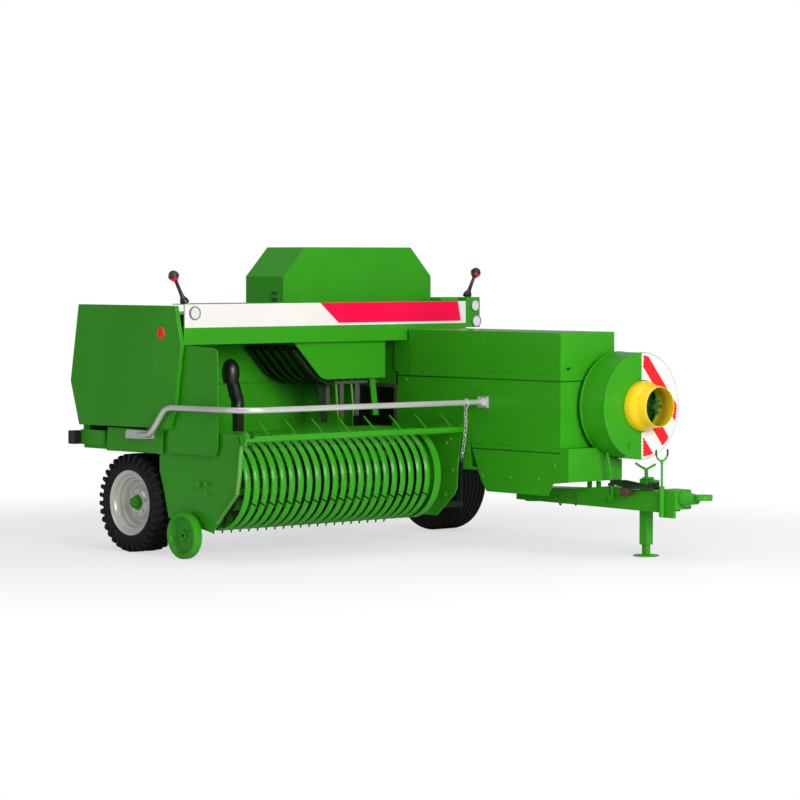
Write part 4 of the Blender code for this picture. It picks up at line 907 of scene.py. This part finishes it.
def drawbar_hoses():
    """Three hoses laid on the drawbar, with their clips and a plug beside them."""
    low = DRAWBAR_TOP
    # points along each hose: X, Y, Z
    hoses = [[(2.110, 0.800, 0.438), (2.165, 0.790, 0.450), (2.230, 0.770, 0.452), (2.330, 0.760, 0.446),
              (2.430, 0.768, 0.440), (2.520, 0.790, low)],
             [(2.110, 0.820, 0.438), (2.165, 0.808, 0.452), (2.240, 0.790, 0.463), (2.350, 0.775, 0.456),
              (2.440, 0.780, 0.446), (2.520, 0.805, low)],
             [(2.115, 0.780, 0.438), (2.180, 0.762, 0.450), (2.290, 0.742, 0.440), (2.370, 0.744, low),
              (2.450, 0.760, 0.440), (2.520, 0.775, low)]]
    bm = bmesh.new()
    for route in hoses:
        add_tube(bm, smooth_path(route, 8), 0.0105, 14)
    piece("drawbar_hoses", bm, BLACK, "tongue", 60)
    plug = [(0.0, 2.262), (0.022, 2.264), (0.029, 2.272), (0.029, 2.312), (0.026, 2.318), (0.026, 2.330),
            (0.018, 2.338), (0.016, 2.352), (0.0, 2.354)]
    end_ring = [(0.0, 2.2600), (0.019, 2.2600), (0.019, 2.2645), (0.0, 2.2645)]
    centre = (0.738, 0.404)
    bm = bmesh.new()
    add_lathe(bm, plug, "X", centre, 28, 0)
    add_lathe(bm, end_ring, "X", centre, 24, 1)
    piece("hose_plug", bm, [BROWN, ORANGE], "tongue", 40)
    bm = bmesh.new()
    for x in (2.150, 2.480):
        add_box(bm, (x, x + 0.018), (0.752, 0.835), (low, 0.470))
    piece("hose_clips", bm, DARK_PAINT_AND_SHADE, "tongue", bevel=0.003)


def jack_collar():
    """Rolled ring round the top of the jack's tube, and the block in front of it."""
    ring = [(0.031, 0.4824), (0.038, 0.4830), (0.040, 0.487), (0.038, 0.492), (0.031, 0.4925)]
    bm = bmesh.new()
    add_lathe(bm, ring, "Z", (2.365, 0.870), 40)
    add_box(bm, (2.395, 2.440), (0.845, 0.895), (0.445, 0.478))
    piece("jack_collar", bm, GREEN, "tongue", 50, bevel=0.0015)


def skirt_rings():
    """Three stay rings below the front of the housing."""
    bm = bmesh.new()
    for x, y in ((1.965, 0.500), (2.040, 0.560), (2.040, 0.905)):
        add_tube(bm, hoop(x, y, 0.350, 0.0126, 0.034, 24), 0.0045, 10)
    piece("skirt_rings", bm, DARK_GREEN_AND_SHADE, "chassis", 60)


# ---- back and left side
def rear_lamps():
    """Red and orange lens fields with ribs on the rear face of both lamp boxes."""
    ribs, pitch, height = 5, 0.012, 0.006
    for side_name in ("right", "left"):
        low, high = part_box(f"rear_lamp_{side_name}")
        low, high = low - ORIGIN, high - ORIGIN
        middle = (low.y + high.y) / 2
        bm = bmesh.new()
        fields = ((low.y + 0.006, middle - 0.002, 0), (middle + 0.002, high.y - 0.006, 1))
        for y0, y1, index in fields:
            lens = rounded((y0, y1), (low.z + 0.007, high.z - 0.007), 0.005)
            add_prism(bm, lens, "X", low.x - 0.0045, low.x - AIR, index)
            for k in range(ribs):
                z = low.z + 0.014 + pitch * k
                across = (y0 + 0.003, y1 - 0.003)
                add_box(bm, (low.x - 0.0060, low.x - 0.0046), across, (z, z + height), index)
        piece(f"rear_lens_{side_name}", bm, [RED, ORANGE], "chassis", bevel=0.0006)


def cover_bolts():
    """Bolts of the rear cover, the hood's, the housing's and the chamber's left side."""
    bm = bmesh.new()
    for y in (-1.30, -0.85, -0.40, 0.05, 0.38):
        for z in (0.700, 1.460):
            add_bolt(bm, (REAR_COVER_X - AIR, y, z), "X", -1, 0.009)
    # face in Y, places in X, heights, size
    rows = ((HOOD_Y[1], (-0.08, 0.09, 0.26), (1.530,), 0.007),
            (HOUSING_Y[1], (0.56, 0.90, 1.24, 1.48), (0.700, 1.060), 0.008),
            (CHAMBER_LEFT, (-1.30, -0.80, -0.20, 0.20), (0.610, 0.985), 0.008))
    for face, places, heights, size in rows:
        for x in places:
            for z in heights:
                add_bolt(bm, (x, face + AIR, z), "Y", 1, size)
    piece("cover_bolts", bm, GREEN, "chassis")


def gearbox_cover():
    """Round cover on the gearbox's left side, with its bolt circle and oil plug."""
    x, y, z = 1.820, 1.130, 0.905
    bolts, circle = 8, 0.098
    # radius, height above the gearbox's side
    section = [(0.0, 0.016), (0.060, 0.016), (0.066, 0.010), (0.112, 0.008), (0.118, 0.004), (0.118, AIR),
               (0.0, AIR)]
    bm = bmesh.new()
    add_lathe(bm, [(r, y + height) for r, height in section], "Y", (x, z), 56, 0)
    for k in range(bolts):
        angle = math.tau * (k + 0.5) / bolts
        spot = (x + circle * math.cos(angle), y + 0.008, z + circle * math.sin(angle))
        add_bolt(bm, spot, "Y", 1, 0.007, 1)
    add_bolt(bm, (x, y + 0.016, z), "Y", 1, 0.012, 1)
    piece("gearbox_cover", bm, [DARK_GREEN_AND_SHADE, ZINC], "chassis")


def chamber_ribs():
    """Pressed stiffening ribs along the chamber's left wall."""
    half = 0.016
    bm = bmesh.new()
    for z in (0.700, 0.800, 0.900):
        for x0, x1 in ((-0.940, -0.640), (-0.560, -0.060)):
            outline = rounded((x0, x1), (z - half, z + half), 0.0155, 8)
            add_prism(bm, outline, "Y", CHAMBER_LEFT, CHAMBER_LEFT + AIR + 0.0060)
    piece("chamber_ribs", bm, GREEN, "chassis", 30, bevel=0.0040)


# ---- stage
def stage_material():
    """Pale floor that keeps the object's shadow and fades into the white backdrop."""
    made = bpy.data.materials.new("studio_floor")
    made.use_nodes = True
    nodes, links = made.node_tree.nodes, made.node_tree.links
    nodes.clear()
    output = add_node(nodes, "OutputMaterial")
    lit = add_node(nodes, "BsdfDiffuse", Color=(0.86, 0.86, 0.86, 1))
    glow = add_node(nodes, "Emission", Color=(1, 1, 1, 1))
    mix = add_node(nodes, "MixShader")
    coords = add_node(nodes, "TexCoord")
    away = add_node(nodes, "VectorMath")
    away.operation = "LENGTH"
    links.new(coords.outputs["Object"], away.inputs[0])
    # the fade runs from 2 to 5 m away from the middle of the floor
    fade = add_node(nodes, "MapRange", From_Min=2.0, From_Max=5.0, To_Min=0.62, To_Max=1.0)
    fade.interpolation_type = "SMOOTHSTEP"
    links.new(away.outputs["Value"], fade.inputs["Value"])
    path = add_node(nodes, "LightPath")
    share = add_node(nodes, "Math")
    share.operation = "MULTIPLY"
    links.new(path.outputs["Is Camera Ray"], share.inputs[0])
    links.new(fade.outputs["Result"], share.inputs[1])
    links.new(share.outputs["Value"], mix.inputs["Fac"])
    links.new(lit.outputs["BSDF"], mix.inputs[1])
    links.new(glow.outputs["Emission"], mix.inputs[2])
    links.new(mix.outputs["Shader"], output.inputs["Surface"])
    return made


def studio():
    """Floor just below the tyres, white world that lights softly, and three softboxes."""
    mesh = bpy.data.meshes.new("floor")
    size, level = 60.0, -0.001
    corners = [(-size, -size, level), (size, -size, level), (size, size, level), (-size, size, level)]
    mesh.from_pydata(corners, [], [(0, 1, 2, 3)])
    floor = bpy.data.objects.new("floor", mesh)
    link(floor)
    mesh.materials.append(stage_material())
    world = bpy.data.worlds.new("studio")
    bpy.context.scene.world = world
    world.use_nodes = True
    nodes, links = world.node_tree.nodes, world.node_tree.links
    back = nodes["Background"]
    path = add_node(nodes, "LightPath")
    seen = add_node(nodes, "Math")
    seen.operation = "MAXIMUM"
    links.new(path.outputs["Is Camera Ray"], seen.inputs[0])
    links.new(path.outputs["Is Transmission Ray"], seen.inputs[1])
    strength = add_node(nodes, "MapRange", To_Min=0.34, To_Max=1.0)
    links.new(seen.outputs["Value"], strength.inputs["Value"])
    links.new(strength.outputs["Result"], back.inputs["Strength"])
    back.inputs["Color"].default_value = (1, 1, 1, 1)
    # name, place, aimed at, width, height, watts
    lamps = [("front_softbox", (9.0, -2.0, 3.0), (0.4, -0.2, 0.8), 4.5, 2.6, 600),
             ("right_fill", (-3.0, -9.0, 3.0), (-0.5, 0.0, 0.8), 5.0, 3.0, 70),
             ("top_softbox", (0.5, 0.0, 7.0), (0.2, 0.0, 0.8), 6.0, 5.0, 120)]
    for name, spot, aim, width, height, watts in lamps:
        light = bpy.data.lights.new(name, "AREA")
        light.shape = "RECTANGLE"
        light.size = width
        light.size_y = height
        light.energy = watts
        lamp = bpy.data.objects.new(name, light)
        lamp.location = spot
        lamp.rotation_euler = (Vector(aim) - Vector(spot)).to_track_quat("-Z", "Y").to_euler()
        link(lamp)


def camera():
    """Long lens from the front right, looking slightly down."""
    data = bpy.data.cameras.new("camera")
    data.sensor_width = 36.0
    data.lens = 145.1
    cam = bpy.data.objects.new("camera", data)
    cam.location = Vector((16.283, -13.600, 1.852)) + ORIGIN
    turn, pitch = math.radians(41.705), math.radians(2.5135)
    look = Vector((-math.cos(turn) * math.cos(pitch), math.sin(turn) * math.cos(pitch), -math.sin(pitch)))
    cam.rotation_euler = look.to_track_quat("-Z", "Y").to_euler()
    link(cam)
    bpy.context.scene.camera = cam


def build():
    """Every piece, then the finish of the nodes that stay in view."""
    camera()
    studio()
    tyre("right", lugs=34)
    tyre("left", grooves=(0.018, 0.052, 0.084))
    rim("right", -1)
    rim("left", 1)
    gauge_wheel()
    pickup_bands()
    pickup_fittings()
    wind_guard_mount()
    beam_strip()
    # name, middle in Y and Z, radius, node it stands for
    for lamp in (("lens_right", -1.290, 1.514, 0.043, "front_lamp_right"),
                 ("lens_left", 1.077, 1.539, 0.040, "front_lamp_left"),
                 ("reflector_left", 1.088, 1.436, 0.041, "front_reflector_left")):
        round_lamp(*lamp)
    marker_lamp("marker_right", (0.500, -1.315, 1.5723), (0.500, -1.405, 1.745), "marker_lamp_right")
    marker_lamp("marker_left", (0.500, 1.060, 1.5953), (0.500, 1.143, 1.757), "marker_lamp_left")
    side_reflector()
    housing_details()
    latches()
    drum_details()
    warning_stripes()
    guard_cone()
    rail()
    feed_details()
    chamber_liner()
    knotter_side_plate()
    lift_chain()
    drawbar_hoses()
    jack_collar()
    skirt_rings()
    rear_lamps()
    cover_bolts()
    gearbox_cover()
    chamber_ribs()
    finish_nodes()
    bpy.context.scene.view_settings.view_transform = "Standard"


build()
